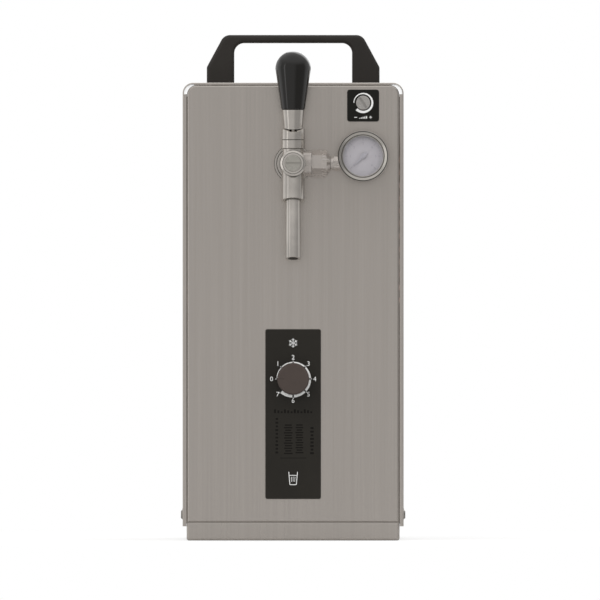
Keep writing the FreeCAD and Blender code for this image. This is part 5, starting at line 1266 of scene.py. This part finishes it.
@dataclass
class Cooling(Assembly):
    """Compressor, condenser, insulated block, pump and lines; lengths in millimetres."""

    fin: Point = (0.25, 19.0, 107.0)
    fin_height: float = 232.0
    fin_pitch: float = 6.0
    fins: int = 18

    def build(self) -> None:
        """Dresses the machinery and sets the closer fins."""
        self.dress(Shop.COMPRESSOR, "compressor")
        self.dress(Shop.RUBBER, "compressor_grommets")
        self.dress(Shop.SCREW, "compressor_nuts")
        self.dress(Shop.DARK, "terminal_cover")
        self.dress(Shop.FIN, "condenser")
        self.dress(Shop.BLOCK, "cooling_block")
        self.dress(Shop.FOAM, "foam_shells")
        self.dress(Shop.STAND, "block_stand", "pump_mounts")
        self.dress(Shop.HOSE, "beer_lines", "air_hoses")
        self.dress(Shop.COPPER, "refrigerant_lines")
        self.dress(Shop.PUMP, "air_pump")
        place_piece("fine_fins", self.fine_fins(), Shop.FIN, "case")

    def fine_fins(self) -> bpy.types.Mesh:
        """Thin fins midway between the condenser's main ones.

        Returns:
            The mesh.
        """
        low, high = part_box("condenser")
        tree = Modelling("fine_fins")
        count = tree.size("Fins", self.fins)
        pitch = tree.size("Pitch", self.fin_pitch * MM)
        thick = tree.size("Thickness", self.fin[0] * MM)
        start = -self.fin_pitch * (self.fins - 1) / 2 * MM
        place = tree.vector(tree.index() * pitch + start, (low.y + high.y) / 2,
                            self.fin_height * MM)
        plate = tree.box(thick, self.fin[1] * MM, self.fin[2] * MM)
        return tree.mesh(tree.copies(plate, count, place), Shop.FIN, smooth=False)


@dataclass
class Studio:
    """Floor, world, lamps and camera; lengths in metres.

    The strip and the walls of the reflected room are given by where they begin and end, from -1
    in front to 1 behind, and by their strength.
    """

    lens: float = 1700.0
    sensor: float = 36.0
    frame: float = 0.42
    aim: Point = (0.0048, -0.085, 0.168)
    daylight: float = 0.62
    room: float = 0.5
    strip: Point = (-0.56, -0.46, 0.9)
    wall: Point = (0.1, 0.8, 0.2)
    backdrop: float = 0.5
    ceiling: float = 0.4
    floor_radius: float = 0.6
    floor_tone: float = 0.42
    floor_glow: float = 0.66
    floor_bounce: float = 0.68

    def build(self) -> None:
        """Sets the whole studio."""
        scene = bpy.context.scene
        scene.view_settings.view_transform = "Standard"
        self.set_world(scene)
        self.set_floor()
        self.lamp("key", (-0.4, -0.8, 0.62), 1.1, 60.0)
        self.lamp("fill", (0.8, -0.6, 0.35), 0.5, 60.0)
        self.lamp("rear_fill", (0.3, 0.9, 0.5), 0.8, 50.0, glossy=True)
        self.set_camera(scene)

    def set_world(self, scene: bpy.types.Scene) -> None:
        """White to the camera, gentler on matt surfaces, with walls and screens in the gloss.

        Args:
            scene: the scene.
        """
        scene.world = bpy.data.worlds.new("studio")
        graph = Graph(scene.world)
        rays = graph.node("ShaderNodeLightPath").outputs
        white = graph.value("ShaderNodeMath", {
            0: rays["Is Camera Ray"], 1: rays["Is Transmission Ray"]}, operation="MAXIMUM")
        glossy = Value(graph, rays["Is Glossy Ray"])
        x, y, z = graph.axes(graph.node("ShaderNodeTexCoord").outputs["Generated"])
        flat = (x * x + y * y).root() + 0.0001
        side = x / flat
        back = y / flat
        level = 1.0 - z.size().ramp(0.3, 0.6)
        left = x < 0.0
        strip = back.band(*self.strip[:2], 0.03) * left * self.strip[2]
        walls = back.band(*self.wall[:2], 0.2) * (left * self.wall[2] + self.wall[2])
        behind = back.ramp(0.93, 0.99) * self.backdrop
        front = 1.0 - back.ramp(-0.3, 0.1)
        screen = front * (side.ramp(0.0, 0.5) * 0.28 - 0.09)
        ceiling = z.ramp(0.35, 0.85) * self.ceiling
        seen = (walls + strip + behind - screen) * level + ceiling + self.room
        graph.surface(Strength=white * (1.0 - self.daylight) + self.daylight
                      + glossy * (seen - self.daylight), Color=(1.0, 1.0, 1.0))

    def set_floor(self) -> None:
        """Round white floor that shows the shadow and otherwise meets the background."""
        graph = Graph(bpy.data.materials.new("studio_floor"))
        seen = graph.node("ShaderNodeLightPath").outputs["Is Camera Ray"]
        lit, bounce = (graph.node("ShaderNodeBsdfDiffuse", {"Color": (tone,) * 3})
                       for tone in (self.floor_tone, self.floor_bounce))
        glow = graph.node("ShaderNodeEmission",
                          {"Color": (1, 1, 1), "Strength": self.floor_glow})
        both = graph.node("ShaderNodeAddShader", {0: lit, 1: glow})
        graph.show(graph.node("ShaderNodeMixShader", {0: seen, 1: bounce, 2: both}))
        disc = bmesh.new()
        bmesh.ops.create_circle(disc, cap_ends=True, segments=96, radius=self.floor_radius)
        mesh = bpy.data.meshes.new("studio_floor")
        disc.to_mesh(mesh)
        disc.free()
        mesh.materials.append(graph.owner)
        add_object("studio_floor", mesh)

    def lamp(self, name: str, source: Point, strength: float, spread: float,
             glossy: bool = False) -> None:
        """Adds a soft distant lamp.

        Args:
            name: its name.
            source: direction towards the lamp.
            strength: its strength.
            spread: its angle in degrees.
            glossy: whether it shows in reflections.
        """
        light = bpy.data.lights.new(name, "SUN")
        light.energy = strength
        light.angle = math.radians(spread)
        lamp = add_object(name, light)
        lamp.rotation_euler = Vector(source).to_track_quat("Z", "Y").to_euler()
        lamp.visible_glossy = glossy

    def set_camera(self, scene: bpy.types.Scene) -> None:
        """Long lens, level and straight in front.

        Args:
            scene: the scene.
        """
        data = bpy.data.cameras.new("front_camera")
        data.sensor_width = self.sensor
        data.lens = self.lens
        distance = self.frame * self.lens / self.sensor
        data.clip_start = 0.1
        data.clip_end = distance * 4
        camera = add_object("front_camera", data)
        camera.location = (self.aim[0], self.aim[1] - distance, self.aim[2])
        camera.rotation_euler = (math.pi / 2, 0.0, 0.0)
        scene.camera = camera


def main() -> None:
    """Builds the studio, then dresses each sub-assembly in turn."""
    logging.basicConfig(level=logging.INFO, format="%(name)s %(message)s")
    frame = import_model()
    Studio().build()
    nodes = frame["nodes"]
    for kind in (Case, Tap, Gauge, Controls, Rear, Cooling):
        LOG.info("%s", kind.__name__)
        kind(nodes).build()


if __name__ == "__main__":
    main()
